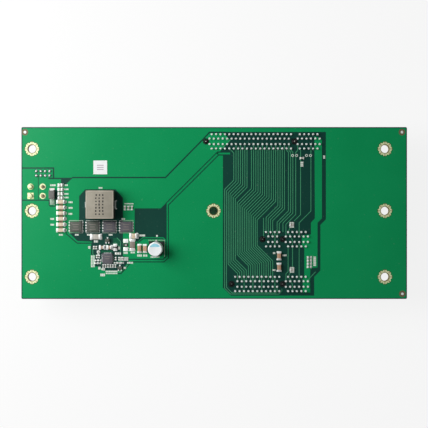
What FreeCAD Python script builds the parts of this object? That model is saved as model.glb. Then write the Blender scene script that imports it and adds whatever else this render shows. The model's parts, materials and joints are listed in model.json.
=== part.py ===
"""Riser backplane board, in millimetres.

The converter side faces up (+Z) and the slots face down. X runs along the board, to the right as seen from
above, and Y runs across it. The origin is under the board's centre, at the level of the tallest connector.
"""
import FreeCAD, Part
import math
import os
import re

import Sketcher

SIZES = {
    # Board
    "board_length": 175.0,
    "board_width": 78.0,
    "board_thickness": 1.6,
    "board_corner_radius": 0.6,
    # Mounting holes, set out from the left and upper edges
    "mounting_hole_diameter": 3.8,
    "hole_left_margin": 4.8,
    "hole_upper_margin": 9.9,
    "hole_span_along": 160.2,
    "hole_upper_span": 28.1,
    "hole_lower_span": 30.0,
    "centre_hole_x": -0.3,
    # Card edge slots: each is set out from the key between its two sections
    "contact_pitch": 1.0,
    "key_gap": 3.0,
    "key_rib": 1.8,
    "near_positions": 11,
    "long_slot_positions": 38,
    "medium_slot_positions": 21,
    "short_slot_positions": 7,
    "long_slot_x": 36.4,
    "long_slot_y": 32.5,
    "short_slot_x": 31.05,
    "short_slot_y": -11.9,
    "medium_slot_x": 31.05,
    "slot_spacing": 20.32,
    "slot_width": 7.8,
    "slot_height": 11.25,
    "slot_end_margin": 3.0,
    "slot_rim_chamfer": 0.4,
    "card_gap": 1.8,
    "card_gap_depth": 8.4,
    "card_gap_margin": 1.15,
    "gap_floor_width": 1.2,
    "cavity_width": 0.6,
    "cavity_clearance": 0.1,
    "peg_diameter": 2.35,
    "peg_end_offset": 1.65,
    "peg_tip": 0.6,
    "peg_chamfer": 0.5,
    "peg_clearance": 0.08,
    # Contacts: bent strips whose tails stand in two rows on each side of the card gap
    "contact_width": 0.5,
    "contact_thickness": 0.25,
    "inner_row": 1.25,
    "outer_row": 3.25,
    "tail_stand_out": 0.9,
    "contact_bend_height": 0.4,
    "contact_touch_height": 8.2,
    "contact_touch_reach": 0.7,
    "solder_film": 0.05,
    # Power header, two by two
    "power_header_x": -80.6,
    "power_header_y": 9.85,
    "power_header_length": 9.6,
    "power_header_width": 9.6,
    "power_header_height": 12.8,
    "power_row_spacing": 5.5,
    "power_pin_pitch": 4.2,
    "power_pin_width": 1.07,
    "power_pin_reach": 8.0,
    "power_cavity_width": 3.6,
    "power_cavity_depth": 9.6,
    "power_cavity_key": 0.9,
    "latch_width": 3.4,
    "latch_reach": 1.0,
    "latch_foot": 5.2,
    "latch_height": 4.4,
    # Signal header, two by four
    "signal_header_x": -77.7,
    "signal_header_y": 18.0,
    "signal_pitch": 2.0,
    "signal_columns": 4,
    "signal_base_height": 2.0,
    "signal_pin_width": 0.5,
    "signal_pin_reach": 6.0,
    "signal_notch": 0.35,
    # Inductor
    "inductor_x": -51.15,
    "inductor_y": 3.75,
    "inductor_length": 12.6,
    "inductor_width": 12.8,
    "inductor_height": 6.2,
    "inductor_chamfer": 0.35,
    "inductor_strip": 0.3,
    "inductor_strip_width": 3.6,
    "inductor_strip_rise": 2.6,
    "inductor_strip_foot": 2.4,
    # Switch transistors in a row
    "switch_x": -62.7,
    "switch_y": -6.2,
    "switch_pitch": 7.6,
    "switch_length": 5.3,
    "switch_width": 4.8,
    "switch_height": 1.0,
    "switch_frame": 0.25,
    "switch_lead_pitch": 1.27,
    "switch_lead_width": 0.45,
    "switch_lead_length": 0.95,
    "switch_lead_stand_out": 0.4,
    "switch_tab_length": 3.6,
    "switch_tab_width": 4.2,
    "switch_leads": 4,
    "mould_draft": 6.0,
    # Controller
    "controller_x": -48.4,
    "controller_y": -20.6,
    "controller_side": 4.6,
    "controller_height": 0.85,
    "controller_pad_height": 0.15,
    "controller_pad_pitch": 0.5,
    "controller_pad_width": 0.26,
    "controller_pad_length": 0.5,
    "controller_pad_stand_out": 0.15,
    "controller_pads_per_side": 7,
    "controller_slug": 2.8,
    # Bulk capacitor
    "bulk_capacitor_x": -26.3,
    "bulk_capacitor_y": -16.1,
    "bulk_base_side": 6.6,
    "bulk_base_height": 1.0,
    "bulk_base_chamfer": 1.4,
    "bulk_can_diameter": 6.3,
    "bulk_can_height": 7.7,
    "bulk_can_edge": 0.35,
    "bulk_crimp_height": 2.0,
    "bulk_crimp_width": 0.9,
    "bulk_crimp_depth": 0.3,
    "bulk_lead_thickness": 0.2,
    "bulk_lead_width": 0.7,
    "bulk_lead_gap": 2.0,
    "bulk_lead_stand_out": 0.6,
    # Input diode
    "diode_x": -73.5,
    "diode_y": 8.3,
    "diode_length": 2.5,
    "diode_width": 3.7,
    "diode_height": 2.1,
    "diode_strip": 0.2,
    "diode_strip_width": 1.5,
    "diode_strip_rise": 1.1,
    "diode_strip_foot": 1.1,
    # Small transistors
    "transistor_length": 2.1,
    "transistor_width": 1.3,
    "transistor_height": 0.95,
    "transistor_lead_pitch": 1.3,
    "transistor_lead_width": 0.32,
    "transistor_lead_thickness": 0.14,
    "transistor_lead_rise": 0.5,
    "transistor_lead_reach": 0.5,
    # Chip sizes
    "large_chip_length": 3.2,
    "large_chip_width": 1.7,
    "large_chip_height": 1.3,
    "medium_chip_length": 2.0,
    "medium_chip_width": 1.5,
    "medium_chip_height": 0.9,
    "small_chip_length": 1.6,
    "small_chip_width": 0.85,
    "small_chip_height": 0.5,
    "tiny_chip_length": 1.05,
    "tiny_chip_width": 0.55,
    "tiny_chip_height": 0.4,
    "wide_chip_length": 4.6,
    "wide_chip_width": 2.4,
    "wide_chip_height": 0.6,
    "broad_chip_length": 3.2,
    "broad_chip_width": 2.3,
    "broad_chip_height": 1.4,
    # Chips in columns and rows
    "input_capacitor_x": -69.5,
    "input_capacitor_y": 5.03,
    "input_capacitor_pitch": 2.56,
    "input_chip_x": -69.7,
    "input_chip_y": 12.6,
    "input_chip_pitch": 1.95,
    "output_capacitor_x": -33.9,
    "output_capacitor_y": -16.1,
    "output_capacitor_pitch": 2.5,
    "slot_capacitor_x": 29.4,
    "slot_capacitor_y": -19.4,
    "slot_capacitor_pitch": 5.2,
    "sense_chip_x": -40.5,
    "sense_chip_y": 2.3,
    "sense_chip_pitch": 1.57,
    "pull_up_chip_x": 43.2,
    "pull_up_chip_y": -20.15,
    "pull_up_chip_pitch": 1.43,
    # Label
    "label_x": -51.7,
    "label_y": 20.7,
    "label_side": 6.25,
    "label_thickness": 0.1,
}

# Chips and small transistors that stand alone: centre on the board.
PLACES = {
    "bypass_capacitor": (-36.45, -10.4),
    "bleed_resistor": (-37.1, -14.5),
    "sense_resistor": (-53.6, -10.8),
    "drive_capacitor_1": (-50.8, -15.6),
    "drive_capacitor_2": (-47.5, -15.6),
    "drive_resistor": (-44.9, -15.6),
    "driver_transistor": (-48.4, -12.4),
    "feedback_transistor": (-42.8, -24.9),
    "slot_chip_upper": (39.8, 24.9),
    "slot_chip_middle": (35.2, -5.4),
    "slot_chip_lower": (35.3, -25.8),
}

# Rows of tiny chips round the controller: first centre from the controller's centre, step, count, turned.
CONTROLLER_ROWS = {
    "below": (-2.0, -3.45, 1.12, 6, True),
    "right": (3.75, -0.1, 1.5, 3, True),
    "right_below": (3.6, -2.05, 1.55, 3, False),
    "right_above": (4.3, 2.3, 1.6, 1, False),
    "left": (-4.85, 0.85, 1.05, 2, True),
    "left_middle": (-5.0, -0.9, 1.4, 2, False),
    "left_below": (-5.2, -2.2, 1.4, 2, False),
    "left_above": (-4.1, 2.9, 1.4, 1, False),
    "corner": (-6.2, 4.9, 1.1, 2, True),
    "lowest": (-2.0, -4.95, 1.4, 1, False),
}

for place_name, (place_x, place_y) in PLACES.items():
    SIZES[f"{place_name}_x"] = place_x
    SIZES[f"{place_name}_y"] = place_y
for row_name, (row_x, row_y, row_pitch, _, _) in CONTROLLER_ROWS.items():
    SIZES[f"chips_{row_name}_x"] = row_x
    SIZES[f"chips_{row_name}_y"] = row_y
    SIZES[f"chips_{row_name}_pitch"] = row_pitch

# Levels of the board's two faces above the lowest point of the part.
BOARD_REAR = "power_header_height"
BOARD_TOP = "power_header_height + board_thickness"
FACING_DOWN = FreeCAD.Rotation(FreeCAD.Vector(1, 0, 0), 180)
FACING_UP = FreeCAD.Rotation()
SIZE_WORD = re.compile(r"[a-z][a-z_0-9]*")
TOUCH = 1e-4

doc = FreeCAD.newDocument("riser_backplane_board")
sheet = doc.addObject("Spreadsheet::Sheet", "Sizes")
for sheet_row, (size_name, size_value) in enumerate(SIZES.items(), start=1):
    sheet.set(f"A{sheet_row}", size_name)
    sheet.set(f"B{sheet_row}", str(size_value))
    sheet.setAlias(f"B{sheet_row}", size_name)
doc.recompute()

pieces = []


def bind(item, path, formula):
    """Ties one property of an item to a formula of named sizes."""
    item.setExpression(path, SIZE_WORD.sub(sheet_name, formula))


def sheet_name(word):
    """Gives a size its name in the sheet and leaves the words of the formula language alone."""
    return f"Sizes.{word[0]}" if word[0] in SIZES else word[0]


def locate(item, x, y, z, rotation=FACING_UP):
    """Places an item at formulas for its x, y and z."""
    item.Placement = FreeCAD.Placement(FreeCAD.Vector(), rotation)
    for axis, formula in zip("xyz", (x, y, z)):
        bind(item, f"Placement.Base.{axis}", formula)


def origin_item(body, role):
    """Finds one of a body's own axes or planes."""
    return next(item for item in body.Origin.OriginFeatures if item.Role == role)


class Outline:
    """A fully constrained sketch on one of a body's own planes."""

    def __init__(self, body, name, plane="XY_Plane", shift="0"):
        self.sketch = body.newObject("Sketcher::SketchObject", name)
        self.sketch.AttachmentSupport = [(origin_item(body, plane), "")]
        self.sketch.MapMode = "FlatFace"
        bind(self.sketch, "AttachmentOffset.Base.z", shift)

    def pin_point(self, geometry, point, x, y):
        """Fixes a point of the sketch at formulas for its distances from the origin."""
        for kind, formula in (("DistanceX", x), ("DistanceY", y)):
            index = self.sketch.addConstraint(Sketcher.Constraint(kind, -1, 1, geometry, point, 1.0))
            bind(self.sketch, f"Constraints[{index}]", formula)

    def polygon(self, corners):
        """Adds a closed outline through corners given as pairs of formulas."""
        count = len(corners)
        turn = 2 * math.pi / count
        start = [FreeCAD.Vector(math.cos(turn * i), math.sin(turn * i), 0) for i in range(count)]
        sides = [
            self.sketch.addGeometry(Part.LineSegment(start[i], start[(i + 1) % count]), False)
            for i in range(count)
        ]
        for i, (x, y) in enumerate(corners):
            following = sides[(i + 1) % count]
            self.sketch.addConstraint(Sketcher.Constraint("Coincident", sides[i], 2, following, 1))
            self.pin_point(sides[i], 1, x, y)
        return self

    def rectangle(self, left, right, lower, upper):
        """Adds a rectangle between formulas for its four sides."""
        return self.polygon([(left, lower), (right, lower), (right, upper), (left, upper)])

    def centred(self, x, y, length, width):
        """Adds a rectangle about a centre."""
        return self.rectangle(
            f"{x} - ({length}) / 2", f"{x} + ({length}) / 2", f"{y} - ({width}) / 2", f"{y} + ({width}) / 2"
        )

    def eight_sided(self, x, y, diameter):
        """Adds a regular octagon about a centre, by the diameter of the circle through its corners."""
        turns = [f"{45 * i + 22.5} deg" for i in range(8)]
        radius = f"({diameter}) / 2"
        return self.polygon([
            (f"{x} + {radius} * cos({turn})", f"{y} + {radius} * sin({turn})")
            for turn in turns
        ])

    def circle(self, x, y, diameter):
        """Adds a circle about a centre."""
        round_edge = Part.Circle(FreeCAD.Vector(), FreeCAD.Vector(0, 0, 1), 1.0)
        index = self.sketch.addGeometry(round_edge, False)
        self.pin_point(index, 3, x, y)
        size = self.sketch.addConstraint(Sketcher.Constraint("Diameter", index, 2.0))
        bind(self.sketch, f"Constraints[{size}]", diameter)
        return self


def new_body(label, x, y, z, rotation=FACING_UP):
    """Starts a body for one piece and lists it for writing."""
    body = doc.addObject("PartDesign::Body", label)
    locate(body, x, y, z, rotation)
    pieces.append(body)
    return body


def pad(body, name, outline, length, sides="One side", backwards=False, draft=None):
    """Raises an outline into the body."""
    feature = body.newObject("PartDesign::Pad", name)
    feature.Profile = outline.sketch
    feature.SideType = sides
    feature.Reversed = backwards
    bind(feature, "Length", length)
    if draft:
        bind(feature, "TaperAngle", f"-{draft}")
    doc.recompute()
    return feature


def pocket(body, name, outline, depth, sides="One side", backwards=False):
    """Cuts an outline into the body and makes sure that it took something away."""
    before = body.Shape.Volume
    feature = body.newObject("PartDesign::Pocket", name)
    feature.Profile = outline.sketch
    feature.SideType = sides
    feature.Reversed = backwards
    bind(feature, "Length", depth)
    doc.recompute()
    if feature.Shape.Volume >= before:
        raise RuntimeError(f"{body.Label}: {name} cuts nothing")
    return feature


def row(body, name, feature, pitch, count, axis="X_Axis", backwards=False):
    """Repeats a feature along an axis of the body."""
    pattern = body.newObject("PartDesign::LinearPattern", name)
    pattern.Originals = [feature]
    pattern.Direction = (origin_item(body, axis), [""])
    pattern.Reversed = backwards
    bind(pattern, "Length", f"({pitch}) * ({count} - 1)")
    bind(pattern, "Occurrences", count)
    body.Tip = pattern
    doc.recompute()
    return pattern


def edges_where(body, test):
    """Names the body's edges whose box, in the body's own frame, passes a test."""
    shape = body.Tip.Shape
    return [f"Edge{i}" for i, edge in enumerate(shape.Edges, start=1) if test(edge.BoundBox)]


def dress(body, kind, name, test, size_path, size):
    """Adds a chamfer or fillet to the edges that pass a test."""
    base = body.Tip
    edges = edges_where(body, test)
    feature = body.newObject(f"PartDesign::{kind}", name)
    feature.Base = (base, edges)
    bind(feature, size_path, size)
    doc.recompute()
    return feature


class Slot:
    """Where one card edge slot stands and how many contacts it has on the far side of its key."""

    def __init__(self, name, x, y):
        self.name = name
        self.x = x
        self.y = y
        self.positions = f"{name}_positions"
        self.far_end = f"(key_gap / 2 + ({self.positions} - 1) * contact_pitch)"
        self.near_end = "(key_gap / 2 + (near_positions - 1) * contact_pitch)"

    def tail_rows(self, row_name):
        """Gives first place along the slot, count and direction of a row's tails in both sections."""
        if row_name == "inner":
            near = ("key_gap / 2", "ceil(near_positions / 2)", False)
            far = ("-(key_gap / 2 + contact_pitch)", f"floor({self.positions} / 2)", True)
        else:
            near = ("key_gap / 2 + contact_pitch", "floor(near_positions / 2)", False)
            far = ("-(key_gap / 2)", f"ceil({self.positions} / 2)", True)
        return {"near": near, "far": far}


SLOTS = [
    Slot("long_slot", "long_slot_x", "long_slot_y"),
    Slot("short_slot", "short_slot_x", "short_slot_y"),
    Slot("medium_slot", "medium_slot_x", "short_slot_y - slot_spacing"),
]
TAIL_STEP = "2 * contact_pitch"
POWER_PINS = [
    (f"{along}power_row_spacing / 2", f"{across}power_pin_pitch / 2")
    for along in ("-", "")
    for across in ("-", "")
]
HOLE_LEFT = "-board_length / 2 + hole_left_margin"
HOLE_RIGHT = f"{HOLE_LEFT} + hole_span_along"
HOLE_UPPER = "board_width / 2 - hole_upper_margin"
HOLE_MIDDLE = f"{HOLE_UPPER} - hole_upper_span"
HOLE_LOWER = f"{HOLE_MIDDLE} - hole_lower_span"


def make_board():
    """The laminate plate with its mounting, peg and tail holes."""
    body = doc.addObject("PartDesign::Body", "board_plate")
    locate(body, "0", "0", BOARD_REAR)
    outline = Outline(body, "board_outline").centred("0", "0", "board_length", "board_width")
    pad(body, "plate", outline, "board_thickness")
    dress(body, "Fillet", "corners", lambda box: box.ZLength > 1, "Radius", "board_corner_radius")

    holes = Outline(body, "hole_outlines")
    for x in (HOLE_LEFT, HOLE_RIGHT):
        for y in (HOLE_UPPER, HOLE_MIDDLE, HOLE_LOWER):
            holes.circle(x, y, "mounting_hole_diameter")
    holes.circle("centre_hole_x", HOLE_MIDDLE, "mounting_hole_diameter")
    for slot in SLOTS:
        for offset in ("0", f"({slot.far_end} + peg_end_offset)"):
            holes.eight_sided(f"{slot.x} - {offset}", slot.y, "peg_diameter + 2 * peg_clearance")
    pocket(body, "hole_cuts", holes, "board_thickness", backwards=True)

    tail_holes = [make_tail_cutters(slot) for slot in SLOTS] + [make_power_cutters(), make_signal_cutters()]
    cutters = doc.addObject("Part::Compound", "tail_hole_cutters")
    cutters.Links = tail_holes
    board = doc.addObject("Part::Cut", "board")
    board.Base = body
    board.Tool = cutters
    board.Placement = FreeCAD.Placement()
    doc.recompute()
    pieces.append(board)


def cutter_body(name, x, y):
    """Starts a body of bars that stand through the board where tails pass it."""
    body = doc.addObject("PartDesign::Body", name)
    locate(body, x, y, f"{BOARD_REAR} - tail_stand_out")
    return body


def make_tail_cutters(slot):
    """Bars for one slot's tail holes, each a film of solder wider than its tail."""
    body = cutter_body(f"{slot.name}_cutters", slot.x, slot.y)
    for row_name in ("inner", "outer"):
        for section, (first, count, backwards) in slot.tail_rows(row_name).items():
            squares = Outline(body, f"{section}_{row_name}_outline")
            for side in ("-", ""):
                squares.centred(
                    f"({first})",
                    f"{side}{row_name}_row",
                    "contact_width + 2 * solder_film",
                    "contact_thickness + 2 * solder_film",
                )
            bar = pad(body, f"{section}_{row_name}_bar", squares, "board_thickness + 2 * tail_stand_out")
            row(body, f"{section}_{row_name}_bars", bar, TAIL_STEP, count, backwards=backwards)
    return body


def make_power_cutters():
    """Bars for the power header's pin holes."""
    body = cutter_body("power_cutters", "power_header_x", "power_header_y")
    squares = Outline(body, "bar_outline")
    for x, y in POWER_PINS:
        squares.centred(x, y, "power_pin_width + 2 * solder_film", "power_pin_width + 2 * solder_film")
    pad(body, "bars", squares, "board_thickness + 2 * tail_stand_out")
    return body


def make_signal_cutters():
    """Bars for the signal header's pin holes."""
    body = cutter_body("signal_cutters", "signal_header_x", "signal_header_y")
    squares = Outline(body, "bar_outline")
    for side in ("-", ""):
        squares.centred(
            "(-(signal_columns - 1) * signal_pitch / 2)",
            f"{side}signal_pitch / 2",
            "signal_pin_width + 2 * solder_film",
            "signal_pin_width + 2 * solder_film",
        )
    bar = pad(body, "bar_pair", squares, "board_thickness + 2 * tail_stand_out")
    row(body, "bars", bar, "signal_pitch", "signal_columns")
    return body


def make_slot_housing(slot):
    """A moulded slot: card gap in two sections beside the key rib, a comb of cavities and two pegs."""
    body = new_body(f"{slot.name}_housing", slot.x, slot.y, BOARD_REAR, FACING_DOWN)
    left = f"-({slot.far_end} + slot_end_margin)"
    right = f"{slot.near_end} + slot_end_margin"
    block = Outline(body, "block_outline").rectangle(left, right, "-slot_width / 2", "slot_width / 2")
    pad(body, "block", block, "slot_height")
    top = body.Shape.BoundBox.ZLength
    dress(body, "Chamfer", "rim", lambda box: box.ZMin > top - TOUCH, "Size", "slot_rim_chamfer")

    pegs = Outline(body, "peg_outline")
    for offset in ("0", f"-({slot.far_end} + peg_end_offset)"):
        pegs.eight_sided(offset, "0", "peg_diameter")
    pad(body, "pegs", pegs, "board_thickness + peg_tip", backwards=True)
    peg_end = body.Tip.Shape.BoundBox.ZMin
    dress(body, "Chamfer", "peg_tips", lambda box: box.ZMax < peg_end + TOUCH, "Size", "peg_chamfer")

    far_gap = (f"-({slot.far_end} + card_gap_margin)", "-key_rib / 2")
    near_gap = ("key_rib / 2", f"{slot.near_end} + card_gap_margin")
    gaps = Outline(body, "gap_outline")
    floors = Outline(body, "floor_outline")
    for section in (far_gap, near_gap):
        gaps.rectangle(*section, "-card_gap / 2", "card_gap / 2")
        floors.rectangle(*section, "-gap_floor_width / 2", "gap_floor_width / 2")
    pocket(body, "card_gap", gaps, "slot_height", backwards=True)
    pad(body, "gap_floors", floors, "slot_height - card_gap_depth")

    for row_name in ("inner", "outer"):
        reach = f"{row_name}_row + contact_thickness / 2 + cavity_clearance"
        for section, (first, count, backwards) in slot.tail_rows(row_name).items():
            cavity = Outline(body, f"{section}_{row_name}_cavity_outline")
            sides = (f"{first} - cavity_width / 2", f"{first} + cavity_width / 2")
            cavity.rectangle(*sides, "gap_floor_width / 2", reach)
            cavity.rectangle(*sides, f"-({reach})", "-gap_floor_width / 2")
            cut = pocket(body, f"{section}_{row_name}_cavity", cavity, "slot_height", backwards=True)
            row(body, f"{section}_{row_name}_cavities", cut, TAIL_STEP, count, backwards=backwards)


def make_slot_contacts(slot, row_name):
    """One slot's contacts of one tail row: strips that rise from the tail and lean in to the card."""
    body = new_body(f"{slot.name}_{row_name}_contacts", slot.x, slot.y, BOARD_REAR, FACING_DOWN)
    stations = (
        (f"{row_name}_row", "-(board_thickness + tail_stand_out)"),
        (f"{row_name}_row", "contact_bend_height"),
        ("contact_touch_reach", "contact_touch_height"),
    )
    for section, (first, count, backwards) in slot.tail_rows(row_name).items():
        profile = Outline(body, f"{section}_profile", "YZ_Plane", first)
        for side in ("", "-1 * "):
            front = [(f"{side}({reach} - contact_thickness / 2)", height) for reach, height in stations]
            back = [(f"{side}({reach} + contact_thickness / 2)", height) for reach, height in stations]
            profile.polygon(front + back[::-1])
        strip = pad(body, f"{section}_contact", profile, "contact_width", sides="Symmetric")
        row(body, f"{section}_contacts", strip, TAIL_STEP, count, backwards=backwards)


def make_power_header():
    """The power header: a square shroud with four cavities, two of them keyed, a latch ramp and pins."""
    body = new_body("power_header_housing", "power_header_x", "power_header_y", BOARD_REAR, FACING_DOWN)
    block = Outline(body, "block_outline").centred("0", "0", "power_header_length", "power_header_width")
    pad(body, "block", block, "power_header_height")
    face = "-power_header_length / 2"
    ramp = Outline(body, "latch_outline", "XZ_Plane").polygon([
        (face, "latch_foot"),
        (f"{face} - latch_reach", "latch_foot"),
        (f"{face} - latch_reach", "latch_foot + latch_height / 2"),
        (face, "latch_foot + latch_height"),
    ])
    pad(body, "latch", ramp, "latch_width", sides="Symmetric")
    cavities = Outline(body, "cavity_outline", shift="power_header_height")
    half = "power_cavity_width / 2"
    for y in ("-power_pin_pitch / 2", "power_pin_pitch / 2"):
        keyed_x = "-power_row_spacing / 2"
        cavities.polygon([
            (f"{keyed_x} - {half} + power_cavity_key", f"{y} - {half}"),
            (f"{keyed_x} + {half}", f"{y} - {half}"),
            (f"{keyed_x} + {half}", f"{y} + {half}"),
            (f"{keyed_x} - {half} + power_cavity_key", f"{y} + {half}"),
            (f"{keyed_x} - {half}", f"{y} + {half} - power_cavity_key"),
            (f"{keyed_x} - {half}", f"{y} - {half} + power_cavity_key"),
        ])
        cavities.centred("power_row_spacing / 2", y, "power_cavity_width", "power_cavity_width")
    pocket(body, "cavities", cavities, "power_cavity_depth")
    passages = Outline(body, "passage_outline")
    pins = new_body("power_header_pins", "power_header_x", "power_header_y", BOARD_REAR, FACING_DOWN)
    pin_squares = Outline(pins, "pin_outline", shift="-(board_thickness + tail_stand_out)")
    for x, y in POWER_PINS:
        passages.centred(x, y, "power_pin_width", "power_pin_width")
        pin_squares.centred(x, y, "power_pin_width", "power_pin_width")
    floor = "power_header_height - power_cavity_depth"
    pocket(body, "pin_passages", passages, floor, backwards=True)
    pad(pins, "pins", pin_squares, "board_thickness + tail_stand_out + power_pin_reach")


def make_signal_header():
    """The signal header: a base strip notched between its columns, and two rows of square pins."""
    body = new_body("signal_header_base", "signal_header_x", "signal_header_y", BOARD_REAR, FACING_DOWN)
    length = "signal_columns * signal_pitch"
    block = Outline(body, "base_outline").centred("0", "0", length, "2 * signal_pitch")
    pad(body, "strip", block, "signal_base_height")
    notch = Outline(body, "notch_outline")
    first = f"-({length}) / 2 + signal_pitch"
    for edge, depth in (("signal_pitch", "-"), ("-signal_pitch", "+")):
        notch.polygon([
            (f"{first} - signal_notch", edge),
            (f"{first} + signal_notch", edge),
            (first, f"{edge} {depth} signal_notch"),
        ])
    cut = pocket(body, "notch", notch, "signal_base_height", backwards=True)
    row(body, "notches", cut, "signal_pitch", "signal_columns - 1")

    pins = new_body("signal_header_pins", "signal_header_x", "signal_header_y", BOARD_REAR, FACING_DOWN)
    squares = Outline(pins, "pin_outline", shift="-(board_thickness + tail_stand_out)")
    passages = Outline(body, "passage_outline")
    first_pin = "-(signal_columns - 1) * signal_pitch / 2"
    for y in ("-signal_pitch / 2", "signal_pitch / 2"):
        squares.centred(first_pin, y, "signal_pin_width", "signal_pin_width")
        passages.centred(first_pin, y, "signal_pin_width", "signal_pin_width")
    pin = pad(pins, "pin_pair", squares, "board_thickness + tail_stand_out + signal_pin_reach")
    row(pins, "pin_rows", pin, "signal_pitch", "signal_columns")
    cut = pocket(body, "passage_pair", passages, "signal_base_height", backwards=True)
    row(body, "passages", cut, "signal_pitch", "signal_columns")


def wrapped_strip(label, x, y, plane, side, reach, prefix):
    """A terminal strip that comes down one side of a part and turns in under it."""
    body = new_body(label, x, y, BOARD_TOP)
    thickness = f"{prefix}_strip"
    profile = Outline(body, "strip_profile", plane).polygon([
        (f"{side}({reach} + {thickness})", "0"),
        (f"{side}({reach} + {thickness})", f"{prefix}_strip_rise"),
        (f"{side}({reach})", f"{prefix}_strip_rise"),
        (f"{side}({reach})", thickness),
        (f"{side}({reach} - {prefix}_strip_foot)", thickness),
        (f"{side}({reach} - {prefix}_strip_foot)", "0"),
    ])
    pad(body, "strip", profile, f"{prefix}_strip_width", sides="Symmetric")
    return body


def make_inductor():
    """The inductor: a pressed core standing on its two terminal strips."""
    core = new_body("inductor_core", "inductor_x", "inductor_y", f"{BOARD_TOP} + inductor_strip")
    outline = Outline(core, "core_outline").centred("0", "0", "inductor_length", "inductor_width")
    pad(core, "block", outline, "inductor_height - inductor_strip")
    dress(core, "Chamfer", "edges", lambda box: box.ZMax > TOUCH, "Size", "inductor_chamfer")
    for label, side in (("inductor_left_terminal", "-1 * "), ("inductor_right_terminal", "")):
        wrapped_strip(label, "inductor_x", "inductor_y", "XZ_Plane", side, "inductor_length / 2", "inductor")


def make_diode():
    """The input diode: a moulded body on two wrapped strips, joined as one node of leads."""
    body = new_body("input_diode_body", "diode_x", "diode_y", f"{BOARD_TOP} + diode_strip")
    outline = Outline(body, "body_outline").centred("0", "0", "diode_length", "diode_width")
    pad(body, "block", outline, "diode_height - diode_strip", draft="mould_draft")
    strips = [
        wrapped_strip(f"diode_strip_{i}", "diode_x", "diode_y", "YZ_Plane", side, "diode_width / 2", "diode")
        for i, side in enumerate(("-1 * ", ""), start=1)
    ]
    group("input_diode_leads", strips)


def group(label, members):
    """Joins loose solids of one kind as one node, without fusing them."""
    compound = doc.addObject("Part::Compound", label)
    compound.Links = members
    for member in members:
        if member in pieces:
            pieces.remove(member)
    pieces.append(compound)
    doc.recompute()


def make_switch(index):
    """A switch transistor: a drafted body on a drain tab and a row of leads."""
    x = f"switch_x + {index} * switch_pitch"
    name = f"switch_{index + 1}"
    body = new_body(f"{name}_body", x, "switch_y", f"{BOARD_TOP} + switch_frame")
    outline = Outline(body, "body_outline").centred("0", "0", "switch_length", "switch_width")
    pad(body, "block", outline, "switch_height - switch_frame", draft="mould_draft")

    leads = new_body(f"{name}_leads", x, "switch_y", BOARD_TOP)
    edge = "(switch_length / 2 + switch_lead_stand_out)"
    first = "-(switch_leads - 1) * switch_lead_pitch / 2"
    lead = Outline(leads, "lead_outline")
    lead.rectangle(
        f"-{edge}", f"-{edge} + switch_lead_length", f"{first} - switch_lead_width / 2",
        f"{first} + switch_lead_width / 2",
    )
    strip = pad(leads, "lead", lead, "switch_frame")
    row(leads, "lead_row", strip, "switch_lead_pitch", "switch_leads", "Y_Axis")
    tab = Outline(leads, "tab_outline")
    tab.rectangle(f"{edge} - switch_tab_length", edge, "-switch_tab_width / 2", "switch_tab_width / 2")
    pad(leads, "tab", tab, "switch_frame")


def make_controller():
    """The controller: a flat square body on its edge pads and the slug under its middle."""
    body = new_body("controller_body", "controller_x", "controller_y", f"{BOARD_TOP} + controller_pad_height")
    outline = Outline(body, "body_outline").centred("0", "0", "controller_side", "controller_side")
    pad(body, "block", outline, "controller_height - controller_pad_height")

    pads = new_body("controller_pads", "controller_x", "controller_y", BOARD_TOP)
    slug = Outline(pads, "slug_outline").centred("0", "0", "controller_slug", "controller_slug")
    pad(pads, "slug", slug, "controller_pad_height")
    outer = "(controller_side / 2 + controller_pad_stand_out)"
    first = "-(controller_pads_per_side - 1) * controller_pad_pitch / 2"
    across = (f"{first} - controller_pad_width / 2", f"{first} + controller_pad_width / 2")
    left = (f"-{outer}", f"-{outer} + controller_pad_length")
    right = (f"{outer} - controller_pad_length", outer)
    columns = Outline(pads, "column_outline")
    columns.rectangle(*left, *across)
    columns.rectangle(*right, *across)
    column = pad(pads, "column_pads", columns, "controller_pad_height")
    row(pads, "columns", column, "controller_pad_pitch", "controller_pads_per_side", "Y_Axis")
    lines = Outline(pads, "line_outline")
    lines.rectangle(*across, *left)
    lines.rectangle(*across, *right)
    line = pad(pads, "line_pads", lines, "controller_pad_height")
    row(pads, "lines", line, "controller_pad_pitch", "controller_pads_per_side")


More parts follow.
